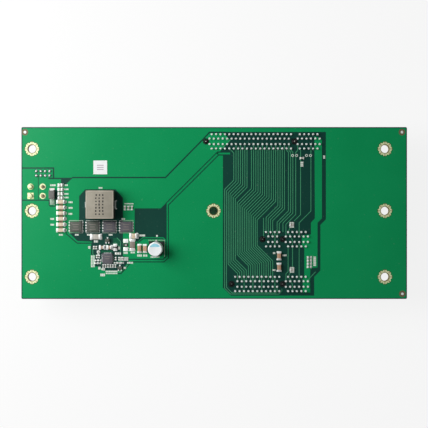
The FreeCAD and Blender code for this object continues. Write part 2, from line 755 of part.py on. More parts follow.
def make_bulk_capacitor():
    """The bulk capacitor: a crimped can on a square base with two cut corners, and two flat leads."""
    place = ("bulk_capacitor_x", "bulk_capacitor_y")
    base = new_body("bulk_capacitor_base", *place, f"{BOARD_TOP} + bulk_lead_thickness")
    half = "bulk_base_side / 2"
    outline = Outline(base, "base_outline").polygon([
        (f"-{half} + bulk_base_chamfer", f"-{half}"),
        (f"{half} - bulk_base_chamfer", f"-{half}"),
        (half, f"-{half} + bulk_base_chamfer"),
        (half, half),
        (f"-{half}", half),
        (f"-{half}", f"-{half} + bulk_base_chamfer"),
    ])
    pad(base, "plate", outline, "bulk_base_height - bulk_lead_thickness")

    can = new_body("bulk_capacitor_can", *place, f"{BOARD_TOP} + bulk_base_height")
    radius = "bulk_can_diameter / 2"
    height = "(bulk_can_height - bulk_base_height)"
    profile = Outline(can, "can_profile", "XZ_Plane").polygon([
        ("0", "0"),
        (radius, "0"),
        (radius, "bulk_crimp_height - bulk_base_height - bulk_crimp_width / 2"),
        (f"{radius} - bulk_crimp_depth", "bulk_crimp_height - bulk_base_height"),
        (radius, "bulk_crimp_height - bulk_base_height + bulk_crimp_width / 2"),
        (radius, f"{height} - bulk_can_edge"),
        (f"{radius} - bulk_can_edge", height),
        ("0", height),
    ])
    turned = can.newObject("PartDesign::Revolution", "can")
    turned.Profile = profile.sketch
    turned.ReferenceAxis = (origin_item(can, "Z_Axis"), [""])
    turned.Angle = 360
    doc.recompute()

    leads = new_body("bulk_capacitor_leads", *place, BOARD_TOP)
    tabs = Outline(leads, "lead_outline")
    for inner, outer in (
        ("bulk_lead_gap / 2", f"{half} + bulk_lead_stand_out"),
        (f"-({half} + bulk_lead_stand_out)", "-bulk_lead_gap / 2"),
    ):
        tabs.rectangle("-bulk_lead_width / 2", "bulk_lead_width / 2", inner, outer)
    pad(leads, "leads", tabs, "bulk_lead_thickness")


def make_transistor(name):
    """A small transistor: a drafted body between one lead above and two below."""
    x, y = f"{name}_x", f"{name}_y"
    body = new_body(f"{name}_body", x, y, f"{BOARD_TOP} + transistor_lead_thickness")
    outline = Outline(body, "body_outline").centred("0", "0", "transistor_length", "transistor_width")
    pad(body, "block", outline, "transistor_height - transistor_lead_thickness", draft="mould_draft")

    leads = new_body(f"{name}_leads", x, y, BOARD_TOP)
    edge = "transistor_width / 2"
    thick = "transistor_lead_thickness"
    for lead_name, shift, side in (
        ("collector", "0", ""),
        ("base", "-transistor_lead_pitch / 2", "-1 * "),
        ("emitter", "transistor_lead_pitch / 2", "-1 * "),
    ):
        profile = Outline(leads, f"{lead_name}_profile", "YZ_Plane", shift).polygon([
            (f"{side}({edge})", thick),
            (f"{side}({edge})", "transistor_lead_rise"),
            (f"{side}({edge} + {thick})", "transistor_lead_rise"),
            (f"{side}({edge} + {thick})", thick),
            (f"{side}({edge} + transistor_lead_reach)", thick),
            (f"{side}({edge} + transistor_lead_reach)", "0"),
            (f"{side}({edge} - {thick})", "0"),
            (f"{side}({edge} - {thick})", thick),
        ])
        pad(leads, lead_name, profile, "transistor_lead_width", sides="Symmetric")


def chip(label, x, y, kind, turned=False):
    """A chip part lying on the board, long along X or, when turned, along Y."""
    box = doc.addObject("Part::Box", label)
    along, across = f"{kind}_length", f"{kind}_width"
    if turned:
        along, across = across, along
    bind(box, "Length", along)
    bind(box, "Width", across)
    bind(box, "Height", f"{kind}_height")
    locate(box, f"{x} - {along} / 2", f"{y} - {across} / 2", BOARD_TOP)
    pieces.append(box)
    return box


def make_chips():
    """The chip capacitors and resistors, alone, in columns and in groups."""
    for i in range(6):
        y = f"input_capacitor_y - {i} * input_capacitor_pitch"
        chip(f"input_capacitor_{i + 1}", "input_capacitor_x", y, "large_chip")
    for i in range(2):
        x = f"output_capacitor_x + {i} * output_capacitor_pitch"
        chip(f"output_capacitor_{i + 1}", x, "output_capacitor_y", "large_chip", turned=True)
        y = f"slot_capacitor_y - {i} * slot_capacitor_pitch"
        chip(f"slot_capacitor_{i + 1}", "slot_capacitor_x", y, "large_chip", turned=True)
    for name, kind, turned in (
        ("bypass_capacitor", "broad_chip", False),
        ("bleed_resistor", "wide_chip", True),
        ("sense_resistor", "wide_chip", False),
        ("drive_capacitor_1", "medium_chip", False),
        ("drive_capacitor_2", "medium_chip", False),
        ("drive_resistor", "medium_chip", True),
    ):
        chip(name, f"{name}_x", f"{name}_y", kind, turned)

    group("input_chips", [
        chip(f"input_chip_{i + 1}", "input_chip_x", f"input_chip_y - {i} * input_chip_pitch", "medium_chip")
        for i in range(4)
    ])
    group("sense_chips", [
        chip(
            f"sense_chip_{i + 1}",
            f"sense_chip_x + {i} * sense_chip_pitch",
            "sense_chip_y",
            "small_chip",
            turned=True,
        )
        for i in range(3)
    ])
    group("pull_up_chips", [
        chip(
            f"pull_up_chip_{i + 1}",
            "pull_up_chip_x",
            f"pull_up_chip_y - {i} * pull_up_chip_pitch",
            "small_chip",
        )
        for i in range(4)
    ])
    group("slot_chips", [
        chip(f"slot_chip_{place}", f"slot_chip_{place}_x", f"slot_chip_{place}_y", "small_chip")
        for place in ("upper", "middle", "lower")
    ])
    group("controller_chips", [
        chip(
            f"chip_{place}_{i + 1}",
            f"controller_x + chips_{place}_x + {i} * chips_{place}_pitch",
            f"controller_y + chips_{place}_y",
            "tiny_chip",
            turned,
        )
        for place, (_, _, _, count, turned) in CONTROLLER_ROWS.items()
        for i in range(count)
    ])


def make_label():
    """The square paper label."""
    label = doc.addObject("Part::Box", "label")
    bind(label, "Length", "label_side")
    bind(label, "Width", "label_side")
    bind(label, "Height", "label_thickness")
    locate(label, "label_x - label_side / 2", "label_y - label_side / 2", BOARD_TOP)
    pieces.append(label)


def write_pieces():
    """Checks every object and writes each piece to a file of its own name."""
    doc.recompute()
    for item in doc.Objects:
        if "Invalid" in item.State or "Error" in item.State:
            raise RuntimeError(f"{item.Label} failed: {item.State}")
    for piece in pieces:
        if piece.Shape.isNull() or not piece.Shape.isValid():
            raise RuntimeError(f"{piece.Label} has no valid shape")
    os.makedirs("parts", exist_ok=True)
    for piece in pieces:
        piece.Shape.exportStep(f"parts/{piece.Label}.step")


make_board()
for card_slot in SLOTS:
    make_slot_housing(card_slot)
    for tail_row in ("inner", "outer"):
        make_slot_contacts(card_slot, tail_row)
make_power_header()
make_signal_header()
make_inductor()
make_diode()
for switch_index in range(4):
    make_switch(switch_index)
make_controller()
make_bulk_capacitor()
for transistor_name in ("driver_transistor", "feedback_transistor"):
    make_transistor(transistor_name)
make_chips()
make_label()
write_pieces()
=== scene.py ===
"""Looks for a riser backplane board that lies with its solder side up."""

import json
import logging
import math
import random
from dataclasses import dataclass
from enum import Enum
from typing import Any, Iterable, Optional, Sequence, Union

import bmesh
import bpy
from mathutils import Matrix, Vector

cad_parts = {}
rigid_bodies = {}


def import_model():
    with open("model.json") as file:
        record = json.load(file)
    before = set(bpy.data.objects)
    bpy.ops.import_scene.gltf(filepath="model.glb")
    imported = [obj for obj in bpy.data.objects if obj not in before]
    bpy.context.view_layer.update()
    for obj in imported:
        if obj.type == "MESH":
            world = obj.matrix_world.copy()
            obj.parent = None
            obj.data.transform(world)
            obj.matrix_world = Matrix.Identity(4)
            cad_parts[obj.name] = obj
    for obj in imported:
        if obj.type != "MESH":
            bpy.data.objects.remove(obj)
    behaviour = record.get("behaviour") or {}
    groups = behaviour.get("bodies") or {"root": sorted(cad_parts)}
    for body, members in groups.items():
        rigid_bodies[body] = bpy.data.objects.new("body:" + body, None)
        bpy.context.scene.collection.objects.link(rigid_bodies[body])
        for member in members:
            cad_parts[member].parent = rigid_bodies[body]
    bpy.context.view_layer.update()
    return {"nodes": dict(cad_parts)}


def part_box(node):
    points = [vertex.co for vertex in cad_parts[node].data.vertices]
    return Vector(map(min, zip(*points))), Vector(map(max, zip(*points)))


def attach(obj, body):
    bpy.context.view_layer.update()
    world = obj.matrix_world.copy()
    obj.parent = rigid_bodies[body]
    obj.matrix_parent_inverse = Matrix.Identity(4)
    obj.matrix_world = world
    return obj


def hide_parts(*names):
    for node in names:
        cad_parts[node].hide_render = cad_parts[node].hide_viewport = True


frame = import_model()

Point = tuple[float, float]
Size = tuple[float, float, float]
Colour = tuple[int, int, int]
Shape = bmesh.types.BMesh
Socket = bpy.types.NodeSocket
Value = Union[float, Socket]
Tint = Union[Sequence[float], Socket]

LOG = logging.getLogger("riser_board")
MM = 0.001
BODY = "root"
UP = Vector((0.0, 0.0, 1.0))
MERGE = 1e-6
LEVEL_MATCH = 0.01
SHARP_ANGLE = math.radians(35)
MITRE_LIMIT = 0.4
TAIL_RISE = 0.1
MOTTLE_DETAIL = {"Drift": 4.0, "Grain": 3.0, "Dust": 1.0}
SPECK_LIMITS = (0.7, 0.78)
DRIFT_LIMITS = (-0.3, 1.3)
DUST_COLOUR: Colour = (205, 205, 200)


def linear(colour: Colour) -> tuple[float, float, float, float]:
    """Turns a screen colour into the linear one that shaders use.

    Args:
        colour: Red, green and blue from 0 to 255.

    Returns:
        Linear red, green and blue, and an alpha of one.
    """
    parts = [c / 255 for c in colour]
    red, green, blue = (p / 12.92 if p <= 0.04045 else ((p + 0.055) / 1.055) ** 2.4 for p in parts)
    return red, green, blue, 1.0


def node_box(node: str) -> tuple[Vector, Vector]:
    """The lowest and highest corner of a CAD node, in millimetres."""
    low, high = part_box(node)
    return low / MM, high / MM


def loose_parts(node: str) -> list[list[Vector]]:
    """Splits a CAD node into its separate solids.

    Args:
        node: Name of the node.

    Returns:
        One list of corner points per solid, in millimetres, from left to right.
    """
    bm = bmesh.new()
    bm.from_mesh(frame["nodes"][node].data)
    bmesh.ops.remove_doubles(bm, verts=bm.verts, dist=MERGE)
    waiting = set(bm.verts)
    parts = []
    while waiting:
        edge = [waiting.pop()]
        found = []
        while edge:
            vert = edge.pop()
            found.append(vert.co / MM)
            near = {e.other_vert(vert) for e in vert.link_edges} & waiting
            waiting -= near
            edge.extend(near)
        parts.append(found)
    bm.free()
    return sorted(parts, key=lambda p: (round(min(v.x for v in p), 2), round(min(v.y for v in p), 2)))


def span(points: Iterable[Vector]) -> tuple[Vector, Vector]:
    """The lowest and highest corner of some points."""
    rows = list(zip(*points))
    return Vector([min(r) for r in rows]), Vector([max(r) for r in rows])


BOARD_LOW, BOARD_HIGH = node_box("board")
TOP = BOARD_HIGH.z
REAR = BOARD_LOW.z


class NodeBench:
    """Places nodes in one shader tree and joins them."""

    MIX_INPUTS = (0, 6, 7)
    MIX_RESULT = 2

    def __init__(self, tree: bpy.types.NodeTree) -> None:
        """Starts from a tree."""
        self.tree = tree

    def add(self, kind: str, inputs: Optional[dict[Any, Any]] = None, **settings: Any) -> bpy.types.Node:
        """Places a node.

        Args:
            kind: The node's type.
            inputs: Value or socket for each named or numbered input.
            **settings: Attributes of the node.

        Returns:
            The node.
        """
        node = self.tree.nodes.new(kind)
        for name, value in settings.items():
            setattr(node, name, value)
        for key, value in (inputs or {}).items():
            if isinstance(value, Socket):
                self.tree.links.new(value, node.inputs[key])
            else:
                node.inputs[key].default_value = value
        return node

    def blend(self, first: Tint, second: Tint, factor: Value) -> Socket:
        """Mixes two colours by a factor and gives the result."""
        inputs = dict(zip(self.MIX_INPUTS, (factor, first, second)))
        return self.add("ShaderNodeMix", inputs, data_type="RGBA").outputs[self.MIX_RESULT]

    def sum(self, operation: str, first: Value, second: Value) -> Socket:
        """Works out one step of arithmetic and gives the result."""
        return self.add("ShaderNodeMath", {0: first, 1: second}, operation=operation).outputs[0]

    def ramp(self, value: Socket, low: float, high: float) -> Socket:
        """Stretches a value of zero to one between two limits."""
        return self.add("ShaderNodeMapRange", {"Value": value, "To Min": low, "To Max": high}).outputs[0]

    def place(self) -> Socket:
        """The point on the piece, in Object coordinates."""
        return self.add("ShaderNodeTexCoord").outputs["Object"]

    def upright(self, vector: Socket) -> Socket:
        """A vector's upward part."""
        return self.add("ShaderNodeSeparateXYZ", {"Vector": vector}).outputs["Z"]

    def facing(self) -> Socket:
        """How far the surface faces up."""
        return self.upright(self.add("ShaderNodeNewGeometry").outputs["Normal"])


def group_tree(name: str, inputs: Sequence[str], outputs: Sequence[str]) -> bpy.types.NodeTree:
    """Starts a shader node group.

    Args:
        name: The group's name.
        inputs: Names of its number inputs.
        outputs: Names of its number outputs.

    Returns:
        The group with its sockets.
    """
    tree = bpy.data.node_groups.new(name, "ShaderNodeTree")
    for words, way in ((inputs, "INPUT"), (outputs, "OUTPUT")):
        for word in words:
            tree.interface.new_socket(word, in_out=way, socket_type="NodeSocketFloat")
    return tree


def make_mottle() -> bpy.types.NodeTree:
    """Makes the mottle group: slow drift, fine grain and rare specks of dust.

    Returns:
        The group.
    """
    words = tuple(MOTTLE_DETAIL)
    tree = group_tree("mottle", words, words)
    bench = NodeBench(tree)
    counts = bench.add("NodeGroupInput").outputs
    end = bench.add("NodeGroupOutput")
    place = bench.place()
    low, high = SPECK_LIMITS
    for word, detail in MOTTLE_DETAIL.items():
        inputs = {"Vector": place, "Scale": counts[word], "Detail": detail}
        noise = bench.add("ShaderNodeTexNoise", inputs).outputs[0]
        if word == "Dust":
            limits = {"Value": noise, "From Min": low, "From Max": high}
            noise = bench.add("ShaderNodeMapRange", limits).outputs[0]
        tree.links.new(noise, end.inputs[word])
    return tree


def make_weave() -> bpy.types.NodeTree:
    """Makes the weave group: glass cloth that shows faintly through a coating.

    Returns:
        The group.
    """
    tree = group_tree("weave", ("Scale",), ("Height",))
    bench = NodeBench(tree)
    scale = bench.add("NodeGroupInput").outputs["Scale"]
    inputs = {"Vector": bench.place(), "Scale": scale, "Distortion": 0.6, "Detail": 1.0}
    warp, weft = (
        bench.add("ShaderNodeTexWave", inputs, bands_direction=direction).outputs["Fac"]
        for direction in ("X", "Y")
    )
    end = bench.add("NodeGroupOutput")
    tree.links.new(bench.sum("MULTIPLY", warp, weft), end.inputs["Height"])
    return tree


MOTTLE = make_mottle()
WEAVE = make_weave()


@dataclass(frozen=True)
class Finish:
    """A surface: two close colours that drift into each other, grain, dust and gloss.

    Drift, grain and dust are counts per metre.
    """

    name: str
    colour: Colour
    shade: Colour
    rough: float = 0.5
    rough_swing: float = 0.12
    metallic: float = 0.0
    coat: float = 0.0
    specular: float = 0.5
    drift: float = 150.0
    grain: float = 6000.0
    dust: float = 900.0
    dust_share: float = 0.15
    bump: float = 0.1
    bump_depth: float = 0.00002

    def build(self) -> bpy.types.Material:
        """Builds the material, or finds the one built before.

        Returns:
            The material.
        """
        name = f"{self.name}_finish"
        known = bpy.data.materials.get(name)
        if known:
            return known
        material = bpy.data.materials.new(name)
        material.use_nodes = True
        bench = NodeBench(material.node_tree)
        shader = material.node_tree.nodes["Principled BSDF"]
        counts = {"Drift": self.drift, "Grain": self.grain, "Dust": self.dust}
        mottle = bench.add("ShaderNodeGroup", counts, node_tree=MOTTLE)
        link = material.node_tree.links.new
        link(self.colouring(bench, mottle), shader.inputs["Base Color"])
        smooth, dull = self.rough - self.rough_swing, self.rough + self.rough_swing
        link(bench.ramp(mottle.outputs["Grain"], smooth, dull), shader.inputs["Roughness"])
        shader.inputs["Metallic"].default_value = self.metallic
        shader.inputs["Coat Weight"].default_value = self.coat
        shader.inputs["Specular IOR Level"].default_value = self.specular
        bump = bench.add(
            "ShaderNodeBump",
            {"Strength": self.bump, "Distance": self.bump_depth, "Height": self.height(bench, mottle)},
        )
        link(bump.outputs[0], shader.inputs["Normal"])
        return material

    def colouring(self, bench: NodeBench, mottle: bpy.types.Node) -> Socket:
        """Mixes the colour over the surface.

        Args:
            bench: Bench of the material's tree.
            mottle: The mottle group's node.

        Returns:
            The colour.
        """
        drift = bench.ramp(mottle.outputs["Drift"], *DRIFT_LIMITS)
        base = bench.blend(linear(self.colour), linear(self.shade), drift)
        dust = bench.sum("MULTIPLY", mottle.outputs["Dust"], self.dust_share)
        return bench.blend(base, linear(DUST_COLOUR), dust)

    def height(self, bench: NodeBench, mottle: bpy.types.Node) -> Socket:
        """The relief over the surface."""
        return mottle.outputs["Grain"]


@dataclass(frozen=True)
class CoatedLaminate(Finish):
    """A glossy coat on glass cloth, whose weave shows faintly."""

    weave: float = 520.0
    grain_share: float = 0.3

    def height(self, bench: NodeBench, mottle: bpy.types.Node) -> Socket:
        """Adds a little grain to the cloth's relief.

        Args:
            bench: Bench of the material's tree.
            mottle: The mottle group's node.

        Returns:
            The height.
        """
        weave = bench.add("ShaderNodeGroup", {"Scale": self.weave}, node_tree=WEAVE)
        grain = bench.sum("MULTIPLY", mottle.outputs["Grain"], self.grain_share)
        return bench.sum("ADD", weave.outputs["Height"], grain)


@dataclass(frozen=True)
class BoardFinish(CoatedLaminate):
    """The board itself: coated faces, and sawn edges that show the laminate's layers."""

    edge_colour: Colour = (150, 146, 96)
    layer_colour: Colour = (96, 104, 62)
    layer_pitch: float = 0.2
    side_limit: float = 0.5

    def colouring(self, bench: NodeBench, mottle: bpy.types.Node) -> Socket:
        """Puts the coat on the faces and striped laminate on the edges.

        Args:
            bench: Bench of the material's tree.
            mottle: The mottle group's node.

        Returns:
            The colour.
        """
        faces = super().colouring(bench, mottle)
        side = bench.sum("LESS_THAN", bench.sum("ABSOLUTE", bench.facing(), 0.0), self.side_limit)
        height = bench.upright(bench.place())
        layers = bench.sum("FRACT", bench.sum("DIVIDE", height, self.layer_pitch * MM), 0.0)
        edge = bench.blend(linear(self.edge_colour), linear(self.layer_colour), layers)
        return bench.blend(faces, edge, side)


@dataclass(frozen=True)
class TwoPartMetal(Finish):
    """A contact strip: gold where the card touches, tinned above a height in metres."""

    tin_colour: Colour = (205, 206, 204)
    tin_from: float = 0.0

    def colouring(self, bench: NodeBench, mottle: bpy.types.Node) -> Socket:
        """Puts gold below a height and tin above it.

        Args:
            bench: Bench of the material's tree.
            mottle: The mottle group's node.

        Returns:
            The colour.
        """
        gold = super().colouring(bench, mottle)
        tinned = bench.sum("GREATER_THAN", bench.upright(bench.place()), self.tin_from)
        return bench.blend(gold, linear(self.tin_colour), tinned)


@dataclass(frozen=True)
class FlankShadeFinish(Finish):
    """A block whose upper face keeps the finish's colour and whose flanks are painted with shade."""

    # Colour of the painted shade on the flanks, darker than the top because of how light falls.
    flank_shade: Colour = (44, 41, 40)
    facing_from: float = 0.6

    def colouring(self, bench: NodeBench, mottle: bpy.types.Node) -> Socket:
        """Keeps the finish's colour on what faces up and paints shade on the flanks.

        Args:
            bench: Bench of the material's tree.
            mottle: The mottle group's node.

        Returns:
            The colour.
        """
        upper = super().colouring(bench, mottle)
        facing = bench.sum("GREATER_THAN", bench.facing(), self.facing_from)
        return bench.blend(linear(self.flank_shade), upper, facing)


class Finishes:
    """Every finish on the board."""

    BARE = BoardFinish(
        "bare_mask", (16, 61, 53), (20, 68, 57), rough=0.32, specular=0.25, drift=60, bump=0.15,
        dust_share=0.06,
    )
    POUR = CoatedLaminate(
        "pour_mask", (12, 142, 83), (17, 149, 89), rough=0.3, specular=0.17, drift=45, bump=0.15,
        dust_share=0.05,
    )
    TRACE = CoatedLaminate("trace_mask", (66, 152, 108), (78, 162, 118), rough=0.32, specular=0.25, bump=0.1)
    DEEP = CoatedLaminate(
        "deep_mask", (18, 90, 62), (24, 98, 68), rough=0.32, specular=0.25, drift=90, bump=0.15
    )
    MASK_EDGE = CoatedLaminate("mask_edge", (44, 114, 54), (56, 122, 62), rough=0.4, specular=0.25, bump=0.1)
    GOLD = Finish(
        "land_gold", (228, 234, 172), (240, 243, 200), rough=0.5, metallic=0.2, drift=700, bump=0.2
    )
    SOLDER = Finish(
        "solder", (240, 246, 242), (250, 252, 250), rough=0.45, metallic=0.15, drift=1600, grain=9000,
        bump=0.25,
    )
    DULL_SOLDER = Finish("dull_solder", (118, 150, 126), (148, 170, 150), rough=0.4, drift=1800, bump=0.3)
    GREY_TIN = Finish(
        "grey_tin", (188, 184, 180), (204, 200, 196), rough=0.4, metallic=0.2, drift=1200, bump=0.25
    )
    FLUX = Finish("flux_stain", (150, 138, 92), (112, 104, 62), rough=0.45, drift=1400, bump=0.25)
    BROWN_FLUX = Finish("brown_flux", (138, 116, 88), (118, 100, 72), rough=0.4, drift=900, bump=0.2)
    TIN = Finish(
        "tin_plate", (222, 223, 220), (236, 237, 234), rough=0.38, metallic=0.35, drift=900, bump=0.2
    )
    CONTACT = TwoPartMetal(
        "contact_metal", (212, 176, 92), (226, 194, 118), rough=0.3, metallic=0.8, tin_from=0.0128, bump=0.1
    )
    SILK = Finish(
        "silk_print", (226, 232, 224), (206, 216, 204), rough=0.7, drift=1500, grain=14000, bump=0.3
    )
    FIBRE = CoatedLaminate("open_laminate", (112, 104, 72), (96, 88, 60), rough=0.6, bump=0.3)
    # Brown for the via mouths, and painted shade on the plated holes' walls.
    VIA_MOUTH_AND_HOLE_SHADE = Finish("via_mouth_and_hole_shade", (150, 140, 92), (120, 108, 66), rough=0.7)
    SLOT_PLASTIC = Finish(
        "slot_plastic", (14, 15, 16), (21, 22, 23), rough=0.5, specular=0.25, drift=300, grain=7000,
        bump=0.35, dust_share=0.03,
    )
    HEADER_PLASTIC = Finish(
        "header_plastic", (30, 30, 32), (39, 39, 41), rough=0.45, drift=260, grain=5200, bump=0.3
    )
    # The core's flanks are painted with shade; its top keeps the beige.
    CORE = FlankShadeFinish(
        "core_powder", (146, 141, 127), (160, 154, 140), rough=0.75, specular=0.3, drift=420, grain=5000,
        dust=2600, dust_share=0.3, bump=0.55, bump_depth=0.00005,
    )
    # Pale strips along the core's top edges: a painted highlight.
    CORE_EDGE_HIGHLIGHT = Finish("core_edge_highlight", (186, 180, 164), (176, 168, 150), rough=0.6, drift=900, bump=0.3)
    CORE_PRINT = Finish("core_print", (40, 37, 33), (54, 50, 45), rough=0.8, drift=1800, bump=0.2)
    MOULD = Finish(
        "moulded_package", (78, 84, 76), (90, 95, 86), rough=0.62, specular=0.35, drift=700, grain=9000,
        bump=0.4,
    )
    MOULD_PLUM = Finish(
        "moulded_plum", (84, 84, 90), (95, 92, 98), rough=0.6, specular=0.35, drift=700, grain=9000, bump=0.4
    )
    MOULD_MARK = Finish("laser_mark", (132, 126, 118), (116, 110, 106), rough=0.75, drift=2400, bump=0.2)
    CAN = Finish(
        "can_metal", (244, 247, 249), (250, 252, 253), rough=0.4, metallic=0.1, drift=500, grain=12000,
        bump=0.15,
    )
    CAN_PRINT = Finish("can_print", (144, 210, 228), (156, 220, 236), rough=0.5, drift=1200, bump=0.15)
    CAN_BASE = Finish("can_base", (22, 22, 24), (30, 30, 32), rough=0.55, drift=600, bump=0.3)
    CERAMIC = Finish("ceramic", (206, 186, 160), (216, 198, 172), rough=0.5, drift=1600, bump=0.2)
    CERAMIC_BROWN = Finish("ceramic_brown", (176, 138, 110), (190, 154, 126), rough=0.5, drift=1600, bump=0.2)
    GLAZE = Finish("resistor_glaze", (44, 43, 42), (58, 56, 54), rough=0.4, drift=1500, bump=0.2)
    WARM_GLAZE = Finish("warm_glaze", (126, 117, 108), (140, 131, 121), rough=0.5, drift=1500, bump=0.2)
    PALE_GLAZE = Finish("pale_glaze", (170, 166, 152), (184, 180, 166), rough=0.5, drift=1500, bump=0.2)
    LIGHT_GLAZE = Finish("light_glaze", (190, 186, 176), (176, 172, 162), rough=0.5, drift=1500, bump=0.2)
    DIODE = Finish(
        "diode_mould", (98, 97, 95), (112, 110, 107), rough=0.6, specular=0.35, drift=900, bump=0.35
    )
    PAPER = Finish(
        "label_paper", (236, 240, 240), (230, 234, 234), rough=0.82, drift=800, grain=15000, bump=0.35
    )
    FAINT_INK = Finish("faint_ink", (170, 156, 170), (188, 176, 186), rough=0.85, drift=4000, bump=0.1)
    PEG_GLINT = Finish("peg_glint", (150, 149, 143), (166, 164, 158), rough=0.4, drift=900, bump=0.3)
    # Painted shade round the foot of each peg.
    PEG_FOOT_SHADE = Finish("peg_clearance", (11, 25, 23), (15, 31, 28), rough=0.6, specular=0.15, bump=0.3)
    # Painted highlight on the tips of the other slots' pegs.
    PEG_HIGHLIGHT = Finish("peg_highlight", (74, 74, 71), (88, 88, 84), rough=0.5, drift=900, specular=0.2, bump=0.3)


class Workpiece:
    """A mesh built in millimetres that ends as one piece of the object."""

    def __init__(self, name: str, *finishes: Finish) -> None:
        """Starts an empty piece.

        Args:
            name: The piece's name.
            *finishes: Its finishes, by number.
        """
        self.name = name
        self.finishes = finishes
        self.bm = bmesh.new()

    def stamp(self, shape: Shape, places: Sequence[Matrix], finish: int = 0) -> None:
        """Adds copies of a shape, which is used up.

        Args:
            shape: The shape, built round its own origin.
            places: One placement per copy.
            finish: Number of the copies' finish.
        """
        for face in shape.faces:
            face.material_index = finish
        bmesh.ops.recalc_face_normals(shape, faces=shape.faces)
        mesh = bpy.data.meshes.new("stamp")
        shape.to_mesh(mesh)
        shape.free()
        for place in places:
            mesh.transform(place)
            self.bm.from_mesh(mesh)
            mesh.transform(place.inverted())
        bpy.data.meshes.remove(mesh)

    def put(self, shape: Shape, at: Sequence[float] = (0, 0, 0), finish: int = 0) -> None:
        """Adds one shape, moved to a point."""
        self.stamp(shape, [Matrix.Translation(at)], finish)

    def done(self, replaces: Sequence[str] = ()) -> None:
        """Turns the mesh into a piece that rides on the board, smooth over shallow angles.

        Args:
            replaces: CAD nodes that the piece stands for.
        """
        bmesh.ops.scale(self.bm, vec=(MM, MM, MM), verts=self.bm.verts)
        mesh = bpy.data.meshes.new(self.name)
        self.bm.to_mesh(mesh)
        self.bm.free()
        mesh.shade_smooth()
        mesh.set_sharp_from_angle(angle=SHARP_ANGLE)
        piece = bpy.data.objects.new(self.name, mesh)
        bpy.context.scene.collection.objects.link(piece)
        for finish in self.finishes:
            mesh.materials.append(finish.build())
        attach(piece, BODY)
        if replaces:
            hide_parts(*replaces)
        LOG.info("%s: %d faces", self.name, len(mesh.polygons))


def block(size: Sequence[float], bevel: float = 0.0, segments: int = 2) -> Shape:
    """A block round the origin, with its edges rounded.

    Args:
        size: Length, width and height.
        bevel: How far the rounding reaches.
        segments: Steps of the rounding.

    Returns:
        The shape.
    """
    bm = bmesh.new()
    bmesh.ops.create_cube(bm, size=1.0)
    bmesh.ops.scale(bm, vec=size, verts=bm.verts)
    if bevel:
        bmesh.ops.bevel(
            bm, geom=bm.edges[:], offset=bevel, affect="EDGES", segments=segments, profile=0.5, material=-1
        )
    return bm


def disc(radius: float, height: float, sides: int = 16, top: Optional[float] = None) -> Shape:
    """A disc that stands on the origin, or a cone where its top has another radius.

    Args:
        radius: Radius of the foot.
        height: How tall it is.
        sides: Sides of its outline.
        top: Radius of the top, if it is another.

    Returns:
        The shape.
    """
    bm = bmesh.new()
    upper = radius if top is None else top
    bmesh.ops.create_cone(bm, cap_ends=True, segments=sides, radius1=radius, radius2=upper, depth=height)
    bmesh.ops.translate(bm, vec=(0, 0, height / 2), verts=bm.verts)
    return bm


def turned(profile: Sequence[Point], steps: int = 32) -> Shape:
    """Turns a closed or axis-ended profile round the upright axis.

    Args:
        profile: Radius and height of each corner.
        steps: Steps of the turn.

    Returns:
        The shape.
    """
    bm = bmesh.new()
    verts = [bm.verts.new((radius, 0, height)) for radius, height in profile]
    edges = [bm.edges.new(pair) for pair in zip(verts, verts[1:])]
    if profile[0][0] > 0:
        edges.append(bm.edges.new((verts[-1], verts[0])))
    bmesh.ops.spin(
        bm, geom=verts + edges, cent=(0, 0, 0), axis=UP, angle=math.tau, steps=steps, use_merge=True
    )
    bmesh.ops.remove_doubles(bm, verts=bm.verts, dist=MERGE)
    return bm


def ring(inner: float, outer: float, height: float, steps: int = 24) -> Shape:
    """A flat ring that stands on the origin."""
    return turned([(inner, 0), (outer, 0), (outer, height), (inner, height)], steps)


def thicken(bm: Shape, height: float) -> None:
    """Raises the faces of a flat shape.

    Args:
        bm: The shape.
        height: Its thickness.
    """
    raised = bmesh.ops.extrude_face_region(bm, geom=bm.faces[:], use_keep_orig=True)
    lifted = [g for g in raised["geom"] if isinstance(g, bmesh.types.BMVert)]
    bmesh.ops.translate(bm, vec=(0, 0, height), verts=lifted)


def plate(outline: Sequence[Point], height: float) -> Shape:
    """A flat plate that stands on the origin's level.

    Args:
        outline: Its corners in order.
        height: Its thickness.

    Returns:
        The shape.
    """
    bm = bmesh.new()
    bm.faces.new([bm.verts.new((x, y, 0)) for x, y in outline])
    thicken(bm, height)
    return bm


def ribbon(path: Sequence[Point], width: float, height: float) -> Shape:
    """A flat track along a path, with mitred corners.

    Args:
        path: The middle line's points.
        width: Width of the track.
        height: Its thickness.

    Returns:
        The shape, standing on the origin's level.
    """
    points = [Vector((x, y, 0)) for x, y in path]
    runs = [(b - a).normalized() for a, b in zip(points, points[1:])]
    bm = bmesh.new()
    edge = None
    for i, point in enumerate(points):
        before, after = runs[max(i - 1, 0)], runs[min(i, len(runs) - 1)]
        middle = (before + after).normalized()
        across = Vector((-middle.y, middle.x, 0))
        reach = width / 2 / max(across.dot(Vector((-after.y, after.x, 0))), MITRE_LIMIT)
        ends = (point + across * reach, point - across * reach)
        if edge is None:
            edge = bm.edges.new([bm.verts.new(end) for end in ends])
            continue
        grown = bmesh.ops.extrude_edge_only(bm, edges=[edge])["geom"]
        edge = next(g for g in grown if isinstance(g, bmesh.types.BMEdge))
        old = points[i - 1]
        side = [(v, (v.co - old).dot(Vector((-before.y, before.x, 0)))) for v in edge.verts]
        for vert, way in side:
            vert.co = ends[0] if way > 0 else ends[1]
    thicken(bm, height)
    return bm


